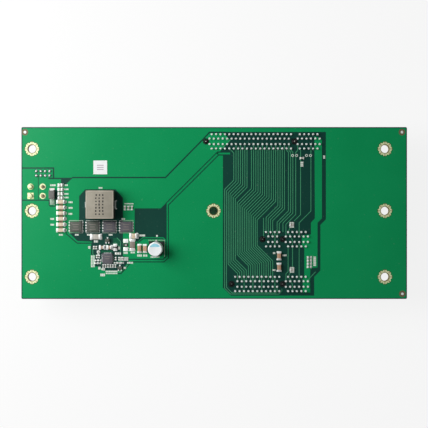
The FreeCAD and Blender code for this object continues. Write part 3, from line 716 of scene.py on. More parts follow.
def cut(piece: Workpiece, cutters: Workpiece) -> None:
    """Takes one workpiece's shape out of another's.

    Args:
        piece: The workpiece that is cut.
        cutters: The workpiece that cuts, which is used up.
    """
    scene = bpy.context.scene.collection.objects
    held = []
    for work in (piece, cutters):
        mesh = bpy.data.meshes.new(f"{work.name}_held")
        work.bm.to_mesh(mesh)
        held.append(bpy.data.objects.new(mesh.name, mesh))
        scene.link(held[-1])
    modifier = held[0].modifiers.new("cut", "BOOLEAN")
    modifier.object = held[1]
    modifier.solver = "EXACT"
    modifier.use_self = True
    bpy.context.view_layer.update()
    graph = bpy.context.evaluated_depsgraph_get()
    result = bpy.data.meshes.new_from_object(held[0].evaluated_get(graph))
    piece.bm.clear()
    piece.bm.from_mesh(result)
    cutters.bm.free()
    for item in held:
        bpy.data.objects.remove(item)
    bpy.data.meshes.remove(result)


@dataclass
class Heights:
    """Thickness of the films on the board, and of the skin by which one lies over another."""

    skin: float = 0.006
    deep: float = 0.02
    copper: float = 0.04
    track: float = 0.044
    land: float = 0.05
    print: float = 0.06


def numbered(name: str, count: int) -> list[str]:
    """The names of a part's copies."""
    return [f"{name}_{i + 1}" for i in range(count)]


HEIGHTS = Heights()
SWITCHES = numbered("switch", 4)
INPUT_CAPACITORS = numbered("input_capacitor", 6)
SLOT_NAMES = ("long_slot", "medium_slot", "short_slot")
REAR_NODES = (*(f"{name}_housing" for name in SLOT_NAMES), "power_header_housing", "signal_header_base")


def tails(node: str) -> list[Vector]:
    """Finds the middle of each tail that stands out of the board's top.

    Args:
        node: CAD node of the tails.

    Returns:
        One point per tail.
    """
    found = []
    for part in loose_parts(node):
        low, high = span([v for v in part if v.z > TOP + TAIL_RISE])
        found.append((low + high) / 2)
    return found


@dataclass
class MountingHoles:
    """Plated mounting holes with gold lands that stitching vias surround."""

    hole: float = 1.9
    rim: float = 2.16
    land: float = 2.82
    lobe: float = 0.62
    lobe_ring: float = 2.58
    lobe_spread: float = 0.12
    lobe_lift: float = 0.01
    lobe_share: float = 0.98
    via: float = 0.22
    via_ring: float = 2.55
    vias: int = 8
    clearance: float = 0.32
    sleeve: float = 0.05
    steps: int = 32
    columns: tuple[float, ...] = (-82.7, 77.5)
    rows: tuple[float, ...] = (29.1, 1.0, -29.0)
    centre: Point = (-0.3, 1.0)

    def places(self) -> list[Point]:
        """Where the holes are."""
        return [(x, y) for x in self.columns for y in self.rows] + [self.centre]

    def around(self, radius: float, turn: float = 0.0) -> list[Vector]:
        """Points on a circle, one per via, turned by an angle."""
        turns = [math.tau * i / self.vias + turn for i in range(self.vias)]
        return [Vector((radius * math.cos(t), radius * math.sin(t), 0)) for t in turns]

    def build(self) -> None:
        """Builds lands with the mask's edge on both faces, sleeves painted with shade, a dark rim at each
        hole, and the via mouths.
        """
        work = Workpiece("mounting_lands", Finishes.GOLD, Finishes.VIA_MOUTH_AND_HOLE_SHADE, Finishes.MASK_EDGE)
        spots = [Vector((x, y, 0)) for x, y in self.places()]
        edge_height = (HEIGHTS.copper + HEIGHTS.land) / 2
        for level, edge_level in ((TOP, TOP), (REAR - HEIGHTS.land, REAR - edge_height)):
            self.add_petals(work, [s + UP * level for s in spots], 0.0, HEIGHTS.land, 0)
            self.add_petals(work, [s + UP * edge_level for s in spots], self.clearance, edge_height, 2)
        upper = [s + UP * (TOP + HEIGHTS.land) for s in spots]
        mouths = [Matrix.Translation(u + p) for u in upper for p in self.around(self.via_ring)]
        work.stamp(disc(self.via, HEIGHTS.skin, sides=8), mouths, 1)
        # The sleeves take the brown finish: painted shade on the plated walls.
        sleeves = [Matrix.Translation(s + UP * REAR) for s in spots]
        work.stamp(ring(self.hole - self.sleeve, self.hole, TOP - REAR, self.steps), sleeves, 1)
        rims = [Matrix.Translation(s + UP * TOP) for s in spots]
        work.stamp(ring(self.hole, self.rim, HEIGHTS.land + HEIGHTS.skin, self.steps), rims, 1)
        work.done()

    def add_petals(
        self, work: Workpiece, middles: Sequence[Vector], growth: float, height: float, finish: int
    ) -> None:
        """Adds a ring at every hole, with lobes whose faces lie just inside the ring's.

        Args:
            work: The piece that takes them.
            middles: Foot of each ring.
            growth: How far its outline lies outside the land's.
            height: Its thickness.
            finish: Number of its finish.
        """
        rings = [Matrix.Translation(m) for m in middles]
        work.stamp(ring(self.hole, self.land + growth, height, self.steps), rings, finish)
        reach = self.lobe_ring + growth / 2
        around = self.around(reach, -self.lobe_spread) + self.around(reach, self.lobe_spread)
        lift = UP * height * self.lobe_lift
        lobes = [Matrix.Translation(m + p + lift) for m in middles for p in around]
        work.stamp(disc(self.lobe + growth / 2, height * self.lobe_share, sides=14), lobes, finish)


@dataclass
class CopperArt:
    """Copper under the green mask: wide pours, the gaps between them and the tracks."""

    margin: float = 0.45
    gap: float = 0.6
    narrow_gap: float = 0.45
    thin_gap: float = 0.26
    hole_clearance: float = 1.95
    pin_clearance: float = 0.8
    rear_clearance: float = 1.2
    cut_reach: float = 1.0
    track: float = 0.27
    feed_width: float = 0.8

    GAPS = (
        ((-88.2, 20.4), (-72.9, 20.4), (-72.9, 15.7)),
        ((-75.2, 15.7), (-64.5, 15.7)),
        ((-64.5, 16.1), (-22.1, 16.1), (-5.5, 33.0), (-2.1, 36.6), (5.0, 36.6)),
    )
    THIN_GAPS = (((-79.8, 16.8), (-79.8, 5.8)),)
    NARROW_GAPS = (
        ((7.6, 26.3), (2.0, 26.3), (-20.8, 3.6), (-20.8, -20.4), (-22.8, -22.2), (-37.6, -22.2),
         (-42.3, -27.5), (-44.8, -27.5)),
        ((7.6, 27.7), (1.5, 27.7), (-21.8, 4.5), (-21.8, -19.7), (-23.2, -21.0), (-38.7, -21.0)),
        ((-67.3, -9.3), (-62.2, -13.7), (-55.6, -13.7), (-55.6, -16.8)),
        ((-88.2, 5.8), (-75.1, 5.8), (-74.85, 5.3), (-74.85, 3.6), (-74.4, 3.1), (-72.4, 3.1), (-71.9, 3.9),
         (-71.9, 5.9)),
        ((-35.4, -14.2), (-32.3, -11.65), (-23.5, -11.65), (-22.7, -12.5), (-22.7, -19.0)),
    )
    DARK_AREAS = (
        ((-69.5, 15.8), (-64.4, 15.8), (-67.3, 13.0), (-69.5, 12.9)),
        # Right of the diode: a gap in the pour widened to take in the diode's cast shadow, painted as bare
        # mask.
        ((-72.4, 10.5), (-70.9, 10.5), (-70.9, 6.0), (-72.4, 6.0)),
        ((-61.3, -9.1), (-61.3, 7.7), (-58.6, 10.7), (-44.7, 10.7), (-41.4, 6.9), (-41.4, -19.7),
         (-38.8, -20.0), (-38.8, -22.4), (-41.8, -25.6), (-44.2, -26.2), (-49.8, -26.0), (-52.0, -24.4),
         (-54.2, -24.2), (-54.2, -19.0), (-55.9, -19.0), (-55.9, -15.2), (-55.4, -13.0), (-62.1, -12.7),
         (-65.7, -9.1)),
        ((-36.1, 2.1), (-24.3, 2.1), (-21.8, 4.6), (-21.8, -12.2), (-23.2, -11.0), (-32.5, -11.0),
         (-34.9, -13.2), (-36.1, -12.4)),
        ((3.8, 36.8), (50.7, 36.8), (50.7, -2.9), (48.2, -5.4), (48.2, -26.1), (45.4, -29.0), (45.4, -37.5),
         (7.6, -37.5), (3.95, -33.9), (3.95, 26.5), (1.3, 26.5), (7.4, 33.1)),
    )
    FEED = ((1.2, 27.0), (7.2, 27.0))
    STRIP = (
        (45.5, 34.9), (48.9, 33.6), (48.9, -2.4), (46.9, -4.4), (46.9, -24.7), (43.7, -25.2), (43.5, -29.3),
        (43.6, -36.1), (40.2, -36.1), (40.2, -30.2), (40.9, -28.2), (40.9, -15.9), (39.8, -15.2),
        (39.8, -10.2), (43.9, -9.8), (43.9, -4.4), (45.7, -2.4),
    )
    DEEP_PATCHES = (
        ((-45.9, -11.4), (-44.2, -11.4), (-42.9, -12.8), (-42.9, -14.2), (-43.9, -14.2), (-44.9, -13.3),
         (-45.9, -13.3)),
        ((-51.4, -17.0), (-46.2, -17.0), (-46.2, -17.9), (-51.4, -17.9)),
        ((-41.0, -18.4), (-38.6, -18.4), (-38.6, -19.6), (-41.0, -19.6)),
    )
    CONVERTER_TRACKS = (
        ((-44.2, -11.2), (-42.5, -12.9), (-42.5, -18.2)),
        ((-46.0, -13.7), (-44.6, -13.6), (-43.4, -14.8), (-42.9, -14.9)),
        ((-55.1, -16.3), (-55.1, -18.6), (-54.5, -19.4), (-53.2, -19.4)),
        ((-48.85, -13.2), (-48.85, -14.9)),
        ((-43.4, -26.7), (-42.2, -26.7), (-39.4, -23.8)),
        ((-53.0, -22.9), (-51.4, -22.9), (-50.8, -22.3)),
        ((-45.8, -22.2), (-44.9, -23.0), (-44.9, -24.4)),
        ((-43.6, -21.9), (-41.4, -21.9)),
    )

    def edge(self) -> list[Point]:
        """Works out the pour's outline, a margin inside the board's.

        Returns:
            Its corners in order.
        """
        left, lower = BOARD_LOW.x + self.margin, BOARD_LOW.y + self.margin
        right, upper = BOARD_HIGH.x - self.margin, BOARD_HIGH.y - self.margin
        return [(left, lower), (right, lower), (right, upper), (left, upper)]

    def cutters(self, holes: MountingHoles, level: float) -> Workpiece:
        """Starts the cutters with the mounting holes.

        Args:
            holes: The mounting holes.
            level: Height of the face that is cut.

        Returns:
            The cutters.
        """
        work = Workpiece("copper_cutters")
        places = [Matrix.Translation((x, y, level - self.cut_reach)) for x, y in holes.places()]
        work.stamp(disc(self.hole_clearance, 2 * self.cut_reach, sides=24), places)
        return work

    def build_front(self, holes: MountingHoles) -> None:
        """Builds the pours on the solder side.

        Args:
            holes: The mounting holes.
        """
        work = Workpiece("pour", Finishes.POUR)
        work.put(plate(self.edge(), HEIGHTS.copper), (0, 0, TOP))
        cutters = self.cutters(holes, TOP)
        depth, low = 2 * self.cut_reach, TOP - self.cut_reach
        gaps = ((self.GAPS, self.gap), (self.NARROW_GAPS, self.narrow_gap), (self.THIN_GAPS, self.thin_gap))
        for paths, width in gaps:
            for path in paths:
                cutters.put(ribbon(path, width, depth), (0, 0, low))
        pins = [Matrix.Translation((t.x, t.y, low)) for t in tails("signal_header_pins")]
        cutters.stamp(disc(self.pin_clearance, depth, sides=12), pins)
        for outline in self.DARK_AREAS:
            cutters.put(plate(outline, depth), (0, 0, low))
        cut(work, cutters)
        work.put(plate(self.STRIP, HEIGHTS.copper), (0, 0, TOP))
        work.done()

    def build_rear(self, holes: MountingHoles) -> None:
        """Builds the pour on the slot side, clear of what stands there.

        Args:
            holes: The mounting holes.
        """
        work = Workpiece("rear_pour", Finishes.POUR)
        work.put(plate(self.edge(), HEIGHTS.copper), (0, 0, REAR - HEIGHTS.copper))
        cutters = self.cutters(holes, REAR)
        for node in REAR_NODES:
            low, high = node_box(node)
            middle = (low + high) / 2
            size = high - low + Vector((self.rear_clearance, self.rear_clearance, 0))
            cutters.put(block((size.x, size.y, 2 * self.cut_reach)), (middle.x, middle.y, REAR))
        cut(work, cutters)
        work.done()

    def build_tracks(self) -> None:
        """Builds the tracks between the slots and those round the converter."""
        work = Workpiece("tracks", Finishes.TRACE, Finishes.POUR, Finishes.DEEP)
        for path in (*TrackPlan().paths(), *self.CONVERTER_TRACKS):
            work.put(ribbon(path, self.track, HEIGHTS.track), (0, 0, TOP))
        work.put(ribbon(self.FEED, self.feed_width, HEIGHTS.copper), (0, 0, TOP), 1)
        for outline in self.DEEP_PATCHES:
            work.put(plate(outline, HEIGHTS.deep), (0, 0, TOP), 2)
        work.done()


@dataclass
class TrackPlan:
    """The routes from the long slot: a wide bundle to the medium slot, a narrow one to the short slot."""

    bend_y: tuple[float, float] = (14.9, 5.25)
    left_x: tuple[float, float] = (4.72, 19.5)
    lanes: int = 2
    lower_count: int = 5
    lower_y: tuple[float, float] = (-23.2, -21.0)
    upper_y: tuple[float, float] = (-18.9, -14.7)
    first_end: float = 10.55
    first_jog: float = 2.0
    jog_y: float = 28.4
    short_bend_y: float = 3.36
    short_bend_slope: float = 0.5
    long_rows: Point = (29.25, 31.25)
    medium_rows: Point = (-28.97, -30.97)
    short_rows: Point = (-8.65, -10.65)

    TOPS = (
        8.9, 9.9, 10.9, 11.9, 12.9, 13.9, 14.9, 16.9, 17.9, 18.9,
        19.9, 20.9, 21.9, 22.9, 23.9, 24.9, 25.9, 26.9, 27.9,
    )
    LANE_ENDS = (
        ((4.72, -34.1), (7.4, -36.8), (29.4, -36.8), (30.7, -35.5), (30.7, -34.6)),
        ((5.54, -33.7), (8.09, -36.25), (27.9, -36.25), (28.55, -35.6), (28.55, -33.5)),
    )
    SHORT = (
        (28.9, 28.9, 23.55), (29.9, 29.9, 24.55), (30.9, 30.9, 25.55), (31.9, 31.9, 26.55),
        (32.9, 33.7, 28.55), (33.9, 34.7, 29.55), (34.9, 35.7, 31.2), (37.9, 37.0, 32.55),
    )
    SINGLES = (
        ((43.9, 31.2), (43.9, 0.9), (38.55, -4.45), (38.55, -10.6)),
        ((38.9, 29.2), (39.2, 28.6), (39.2, -0.7), (36.2, -3.7)),
        ((33.55, -15.2), (33.55, -26.6), (32.55, -27.6), (32.55, -30.9)),
        ((35.55, -15.2), (35.55, -24.9)),
        ((38.55, -13.2), (38.55, -31.0)),
        ((34.7, -6.0), (33.55, -8.6)),
        ((34.9, -26.4), (33.55, -28.9)),
        ((22.4, -2.2), (22.4, -11.6)),
        ((33.55, -8.7), (34.0, -9.6), (34.6, -10.2), (35.5, -12.4), (35.55, -15.1)),
        ((33.55, -29.0), (34.5, -30.1), (35.5, -32.4), (35.55, -35.4)),
        ((13.55, -29.0), (13.55, -35.4)),
        ((17.55, -29.0), (17.55, -35.4)),
        ((21.55, -29.0), (21.55, -35.4)),
        ((27.55, -29.0), (27.55, -35.4)),
        ((27.55, -8.7), (27.55, -15.1)),
        ((8.1, 33.9), (6.3, 32.1), (3.0, 28.8)),
        ((46.0, -26.7), (42.5, -30.4)),
    )

    def tail_y(self, number: float, rows: Point) -> float:
        """The level of a tail by its place: even ones stand in the first row, odd ones in the second."""
        return rows[round(number) % 2]

    def route(self, number: int) -> list[Point]:
        """One track of the wide bundle.

        Args:
            number: Its place from the left.

        Returns:
            The points of the track.
        """
        top = self.TOPS[number]
        share = number / (len(self.TOPS) - 1)
        bend, left = (a + (b - a) * share for a, b in (self.bend_y, self.left_x))
        start = (top, self.tail_y(top - self.TOPS[0], self.long_rows))
        path = [start, (top, bend), (left, bend - (top - left))]
        if number == 0:
            path[:1] = [(top - self.first_jog, start[1]), (top, start[1] - self.first_jog)]
        if number < self.lanes:
            return path + list(self.LANE_ENDS[number])
        place = number - self.lanes
        end = self.first_end + place
        low = self.turn_y(place)
        tail = self.tail_y(place + 1, self.medium_rows)
        return path + [(left, low), (end, low - (end - left)), (end, tail)]

    def turn_y(self, place: int) -> float:
        """Finds where a track of the wide bundle turns to the medium slot: a lower group, then an upper one.

        Args:
            place: Its place among the tracks that turn.

        Returns:
            The level of the turn.
        """
        (first, last), number, count = self.lower_y, place, self.lower_count
        if place >= self.lower_count:
            first, last = self.upper_y
            number = place - self.lower_count
            count = len(self.TOPS) - self.lanes - self.lower_count
        return first + (last - first) * number / (count - 1)

    def short_route(self, tail: float, top: float, end: float) -> list[Point]:
        """One track of the narrow bundle.

        Args:
            tail: Its tail at the long slot.
            top: Where it runs down from there.
            end: Its place at the short slot.

        Returns:
            The points of the track.
        """
        start = (tail, self.tail_y(tail - self.TOPS[0], self.long_rows))
        shift = abs(top - tail)
        bend = self.short_bend_y - self.short_bend_slope * (top - self.SHORT[0][0])
        path = [start]
        if shift:
            path += [(tail, self.jog_y)]
        path += [(top, self.jog_y - shift), (top, bend), (end, bend - (top - end))]
        return path + [(end, self.tail_y(end - self.SHORT[0][2], self.short_rows))]

    def paths(self) -> list[Sequence[Point]]:
        """Lists every track.

        Returns:
            The points of each.
        """
        found = [self.route(i) for i in range(len(self.TOPS))]
        found += [self.short_route(*ends) for ends in self.SHORT]
        return found + list(self.SINGLES)


@dataclass
class SolderJoints:
    """Solder round every tail and pin that comes through the board."""

    land: float = 0.5
    foot: float = 0.47
    neck: float = 0.31
    rise: float = 0.9
    power_land: float = 1.4
    pin_cap: float = 0.95
    full_cap: float = 0.95
    stained_cap: float = 0.66
    bell: tuple[Point, ...] = (
        (1.0, 0.0), (0.9, 0.12), (0.76, 0.4), (0.68, 0.75), (0.62, 0.93), (0.5, 1.0), (0.0, 1.0),
    )

    def build(self) -> None:
        """Builds the joints of the slots and of both headers."""
        work = Workpiece("solder_joints", Finishes.SOLDER, Finishes.GOLD, Finishes.FLUX)
        nodes = [f"{name}_{row}_contacts" for name in SLOT_NAMES for row in ("inner", "outer")]
        spots = [t for node in (*nodes, "signal_header_pins") for t in tails(node)]
        level = [Matrix.Translation((t.x, t.y, TOP)) for t in spots]
        work.stamp(disc(self.land, HEIGHTS.land, sides=10), level)
        raised = [Matrix.Translation((t.x, t.y, TOP + HEIGHTS.land)) for t in spots]
        work.stamp(disc(self.foot, self.rise, sides=10, top=self.neck), raised)
        self.add_power(work)
        work.done()

    def add_power(self, work: Workpiece) -> None:
        """Adds the power header's lands: the outer pair filled pale, the inner pair stained by flux.

        Args:
            work: The piece that takes them.
        """
        pins = sorted(tails("power_header_pins"), key=lambda t: (t.x, t.y))
        for i, pin in enumerate(pins):
            at = (pin.x, pin.y, TOP)
            if i == 0:
                work.put(block((2 * self.power_land, 2 * self.power_land, 2 * HEIGHTS.land)), at, 1)
            else:
                work.put(disc(self.power_land, HEIGHTS.land, sides=24), at, 1)
            share, finish = (self.full_cap, 1) if i < 2 else (self.stained_cap, 2)
            radius = self.power_land * share
            profile = [(radius * across, self.pin_cap * up) for across, up in self.bell]
            work.put(turned([(0, 0), *profile], steps=24), (pin.x, pin.y, TOP + HEIGHTS.land), finish)


@dataclass
class LeadSolder:
    """Solder at the leads, pads and terminals of the packages and of the inductor."""

    dot: Size = (0.62, 0.5, 0.26)
    dot_pitch: float = 1.27
    dots: int = 4
    diode_upper: Size = (2.3, 1.1, 0.45)
    diode_lower: Size = (2.1, 2.6, 0.2)
    lead_bead: Size = (0.6, 0.6, 0.3)
    pad_bead: Size = (0.3, 0.3, 0.16)
    core_left: Size = (1.0, 2.6, 0.5)
    core_right: Size = (0.55, 0.6, 0.5)
    bevel: float = 0.1
    bead_bevel: float = 0.4
    diode_bevel: float = 0.06
    diode_slope: float = -0.4

    def build(self) -> None:
        """Builds the solder of every kind of lead."""
        work = Workpiece("lead_solder", Finishes.SOLDER, Finishes.DULL_SOLDER, Finishes.GREY_TIN)
        for name in SWITCHES:
            self.add_switch(work, *node_box(f"{name}_leads"))
        self.add_diode(work, *node_box("input_diode_leads"))
        self.add_inductor(work)
        for name in ("driver_transistor", "feedback_transistor"):
            self.add_beads(work, f"{name}_leads", self.lead_bead)
        self.add_beads(work, "controller_pads", self.pad_bead)
        work.done()

    def add_beads(self, work: Workpiece, node: str, size: Size) -> None:
        """Adds one bead of solder at the outer end of each lead of a package.

        Args:
            work: The piece that takes them.
            node: CAD node of the leads.
            size: Length, width and height of a bead.
        """
        low, high = node_box(node)
        centre = (low + high) / 2
        places = []
        for part in loose_parts(node):
            first, last = span(part)
            way = (first + last) / 2 - centre
            along = 0 if last.x - first.x > last.y - first.y else 1
            if max(abs(way.x), abs(way.y)) < size[0]:
                continue
            spot = (first + last) / 2
            spot[along] = last[along] if way[along] > 0 else first[along]
            spot.z = TOP + size[2] / 2
            places.append(Matrix.Translation(spot))
        work.stamp(block(size, size[2] * self.bead_bevel), places)

    def add_inductor(self, work: Workpiece) -> None:
        """Adds the solder at the inductor's terminals: one wide fillet at the left, two beads at the right.

        Args:
            work: The piece that takes it.
        """
        low, high = node_box("inductor_left_terminal")
        length, _, height = self.core_left
        middle = (low.y + high.y) / 2
        work.put(block(self.core_left, 2 * self.bevel), (low.x - length / 4, middle, TOP + height / 2))
        low, high = node_box("inductor_right_terminal")
        level = TOP + self.core_right[2] / 2
        for y in (low.y, high.y):
            work.put(block(self.core_right, self.bevel), (high.x + self.bevel, y, level))

    def add_switch(self, work: Workpiece, low: Vector, high: Vector) -> None:
        """Adds a column of solder dots at the outer ends of a switch's leads and of its tab.

        Args:
            work: The piece that takes them.
            low: Lowest corner of the leads.
            high: Their highest corner.
        """
        middle = (low.y + high.y) / 2
        rows = [middle + (i - (self.dots - 1) / 2) * self.dot_pitch for i in range(self.dots)]
        level = TOP + self.dot[2] / 2
        places = [Matrix.Translation((x, y, level)) for x in (low.x, high.x) for y in rows]
        work.stamp(block(self.dot, self.bevel), places)

    def add_diode(self, work: Workpiece, low: Vector, high: Vector) -> None:
        """Adds the diode's two pads: a bright one that slopes above, and a long dull one below.

        Args:
            work: The piece that takes them.
            low: Lowest corner of the leads.
            high: Their highest corner.
        """
        x = (low.x + high.x) / 2
        _, width, height = self.diode_upper
        upper = block(self.diode_upper, self.bevel)
        for vert in upper.verts:
            if vert.co.y > 0 and vert.co.z > 0:
                vert.co.z *= self.diode_slope
        work.put(upper, (x, high.y + width / 2 - self.bevel, TOP + height / 2), 2)
        _, width, height = self.diode_lower
        lower = block(self.diode_lower, self.diode_bevel)
        work.put(lower, (x, low.y - width / 2, TOP + height / 2), 1)


@dataclass
class FluxStain:
    """The brown flux left on the board under the column of input capacitors."""

    width: float = 1.7
    height: float = 0.046

    def build(self) -> None:
        """Builds the stain from the first capacitor to the last."""
        work = Workpiece("flux_stain", Finishes.BROWN_FLUX)
        low, high = span([corner for name in INPUT_CAPACITORS for corner in node_box(name)])
        middle = (low + high) / 2
        size = (self.width, high.y - low.y, self.height)
        work.put(block(size), (middle.x, middle.y, TOP + self.height / 2))
        work.done()


@dataclass
class PegHighlightsAndShade:
    """Painted highlights in the middle of the slots' pegs, and a ring of painted shade round each peg's foot.
    """

    radius: float = 0.3
    taper: float = 0.8
    height: float = 0.02
    # Inner and outer radius of the ring of painted shade round each peg's foot.
    clearance: Point = (1.19, 1.44)
    foot_shade_height: float = 0.047

    def build(self) -> None:
        """Builds one painted highlight on each peg's end and one ring of painted shade round its foot; the
        long slot's highlights are brighter.
        """
        work = Workpiece("peg_highlights_and_shade", Finishes.PEG_HIGHLIGHT, Finishes.PEG_GLINT, Finishes.PEG_FOOT_SHADE)
        for name in SLOT_NAMES:
            housing = f"{name}_housing"
            low, high = node_box(housing)
            y = (low.y + high.y) / 2
            finish = 1 if name == "long_slot" else 0
            points = [v for part in loose_parts(housing) for v in part]
            ends = sorted(v.x for v in points if v.z > high.z - LEVEL_MATCH)
            middle = (ends[0] + ends[-1]) / 2
            for side in ([x for x in ends if x < middle], [x for x in ends if x > middle]):
                x = (side[0] + side[-1]) / 2
                # Each mark is a painted highlight on the peg's tip.
                mark = disc(self.radius, self.height, sides=14, top=self.radius * self.taper)
                work.put(mark, (x, y, high.z), finish)
                # A ring of painted shade round the peg's foot.
                work.put(ring(*self.clearance, self.foot_shade_height), (x, y, TOP), 2)
        work.done()


class ChipKind(Enum):
    """What a small two-ended chip is made of."""

    CERAMIC = Finishes.CERAMIC
    BROWN = Finishes.CERAMIC_BROWN
    RESISTOR = Finishes.GLAZE
    WARM = Finishes.WARM_GLAZE
    PALE = Finishes.PALE_GLAZE
    LIGHT = Finishes.LIGHT_GLAZE


@dataclass
class ChipRow:
    """Small two-ended chips: body, end caps and solder at both ends."""

    node: str
    kind: ChipKind
    cap_share: float = 0.26
    bevel_share: float = 0.12
    sunk: float = 0.06
    solder_reach: float = 0.35
    solder_rise: float = 0.22
    solder_spread: float = 0.3
    foot_share: float = 0.6
    foot_inset: float = 1 / 6
    foot_bevel: float = 0.4

    def build(self) -> None:
        """Builds all chips of the node as one piece."""
        work = Workpiece(f"{self.node}_dressed", self.kind.value, Finishes.TIN, Finishes.SOLDER)
        for part in loose_parts(self.node):
            self.add_chip(work, *span(part))
        work.done([self.node])

    def add_chip(self, work: Workpiece, low: Vector, high: Vector) -> None:
        """Adds one chip with its end caps and solder.

        Args:
            work: The piece that takes it.
            low: The chip's lowest corner.
            high: Its highest corner.
        """
        size, middle = high - low, (high + low) / 2
        along = 0 if size.x >= size.y else 1
        bevel = self.bevel_share * min(size)
        body = size.copy()
        body[along] -= size[along] * self.cap_share
        body[1 - along] -= self.sunk
        body.z -= self.sunk
        work.put(block(body, bevel), middle - UP * self.sunk / 2)
        cap = size.copy()
        cap[along] *= self.cap_share
        foot = size.copy()
        foot[along] = size[along] * self.cap_share * self.foot_share + self.solder_reach
        foot[1 - along] += self.solder_spread
        foot.z = self.solder_rise
        for way in (-1, 1):
            at = middle.copy()
            at[along] += way * (size[along] - cap[along]) / 2
            work.put(block(cap, bevel), at, 1)
            spot = middle.copy()
            spot[along] += way * ((size[along] + self.solder_reach) / 2 - foot[along] * self.foot_inset)
            spot.z = low.z + foot.z / 2
            work.put(block(foot, min(foot) * self.foot_bevel), spot, 2)


@dataclass
class MouldedBody:
    """A moulded package with rounded edges, a dimple ring and marks cut by laser."""

    node: str
    finish: Finish
    marks: int = 0
    bevel: float = 0.12
    bevel_share: float = 0.3
    skin: float = 0.008
    sunk: float = 0.002
    mark_width: float = 0.32
    mark_lengths: Point = (0.55, 0.43)
    mark_from: float = 0.2
    mark_pitch: float = 0.22
    dot: Point = (0.168, 0.28)
    dot_inset: float = 0.16

    def build(self) -> None:
        """Builds the package in place of its CAD node."""
        low, high = node_box(self.node)
        size, middle = high - low, (high + low) / 2
        work = Workpiece(f"{self.node}_dressed", self.finish, Finishes.MOULD_MARK)
        work.put(block(size, min(self.bevel, size.z * self.bevel_share), 3), middle)
        level = high.z - self.sunk
        for i in range(self.marks):
            mark = (size.x * self.mark_lengths[i % 2], self.mark_width, self.skin)
            y = middle.y + size.y * (self.mark_from - self.mark_pitch * i)
            work.put(block(mark), (middle.x, y, level + self.skin / 2), 1)
        if self.marks:
            corner = (low.x + size.x * self.dot_inset, high.y - size.y * self.dot_inset, level)
            work.put(ring(*self.dot, self.skin, steps=14), corner, 1)
        work.done([self.node])


@dataclass
class Inductor:
    """The pressed inductor: a powder core with painted shade on its flanks, a painted highlight along its top
    edges and plain printed strokes.
    """

    bevel: float = 0.3
    rim: float = 0.22
    rim_lift: float = 0.002
    print_lift: float = 0.004
    film: float = 0.012
    stroke: Point = (1.0, 0.6)
    least_stroke: float = 0.6
    columns: tuple[float, ...] = (-1.55, -0.05, 1.5)
    rows: int = 7
    pitch: float = 1.42
    wander: float = 0.14
    seed: int = 7

    def build(self) -> None:
        """Builds the core; its terminals stay as they are."""
        low, high = node_box("inductor_core")
        size, middle = high - low, (high + low) / 2
        work = Workpiece("inductor_core_dressed", Finishes.CORE, Finishes.CORE_EDGE_HIGHLIGHT, Finishes.CORE_PRINT)
        work.put(block(size, self.bevel), middle)
        # Pale strips along the top's edges: a painted highlight on the rounded edges.
        length, width = size.x - 2 * self.bevel, size.y - 2 * self.bevel
        level = high.z + self.rim_lift
        for way in (-1, 1):
            y = middle.y + way * (width - self.rim) / 2
            work.put(block((length, self.rim, self.film)), (middle.x, y, level), 1)
            x = middle.x + way * (length - self.rim) / 2
            work.put(block((self.rim, width, self.film)), (x, middle.y, level), 1)
        draw = random.Random(self.seed)
        tall, wide = self.stroke
        for column in self.columns:
            for i in range(self.rows):
                y = middle.y + (i - (self.rows - 1) / 2) * self.pitch
                stroke = (wide, tall * draw.uniform(self.least_stroke, 1.0), self.film)
                x = middle.x + column + draw.uniform(-self.wander, self.wander)
                work.put(block(stroke), (x, y, high.z + self.print_lift), 2)
        work.done(["inductor_core"])


@dataclass
class BulkCapacitor:
    """The bulk capacitor's can: a crimp, a rounded edge, a dished top and a printed segment."""

    edge: float = 0.45
    edge_steps: int = 5
    crimp: float = 0.3
    crimp_height: float = 1.0
    crimp_half: float = 0.45
    crimp_steps: int = 6
    rim: float = 0.25
    dish: float = 0.04
    film: float = 0.02
    print_from: float = 0.32
    steps: int = 48

    def build(self) -> None:
        """Builds the can with its print."""
        low, high = node_box("bulk_capacitor_can")
        middle = (low + high) / 2
        radius, tall = (high.x - low.x) / 2, high.z - low.z
        work = Workpiece("bulk_capacitor_can_dressed", Finishes.CAN, Finishes.CAN_PRINT)
        work.put(turned(self.profile(radius, tall), self.steps), (middle.x, middle.y, low.z))
        segment = disc(radius - self.edge - self.rim, self.film, self.steps)
        plane = bmesh.ops.bisect_plane(
            segment,
            geom=segment.verts[:] + segment.edges[:] + segment.faces[:],
            plane_co=(0, radius * self.print_from, 0),
            plane_no=(0, -1, 0),
            clear_outer=True,
        )
        open_edges = [e for e in plane["geom_cut"] if isinstance(e, bmesh.types.BMEdge)]
        bmesh.ops.holes_fill(segment, edges=open_edges)
        work.put(segment, (middle.x, middle.y, high.z - self.dish), 1)
        work.done(["bulk_capacitor_can"])

    def profile(self, radius: float, tall: float) -> list[Point]:
        """Draws the can's profile from the middle of its foot to the middle of its top.

        Args:
            radius: The can's radius.
            tall: Its height.

        Returns:
            Radius and height of each corner.
        """
        foot, crown, rim = self.crimp_height - self.crimp_half, tall - self.edge, radius - self.edge
        shares = [i / self.crimp_steps for i in range(self.crimp_steps + 1)]
        turns = [math.pi / 2 * i / self.edge_steps for i in range(self.edge_steps + 1)]
        points = [(0, 0), (radius, 0)]
        groove = [(self.crimp * math.sin(math.pi * s), 2 * self.crimp_half * s) for s in shares]
        points += [(radius - depth, foot + rise) for depth, rise in groove]
        points += [(rim + self.edge * math.cos(t), crown + self.edge * math.sin(t)) for t in turns]
        return points + [(rim - self.rim, tall - self.dish), (0, tall - self.dish)]


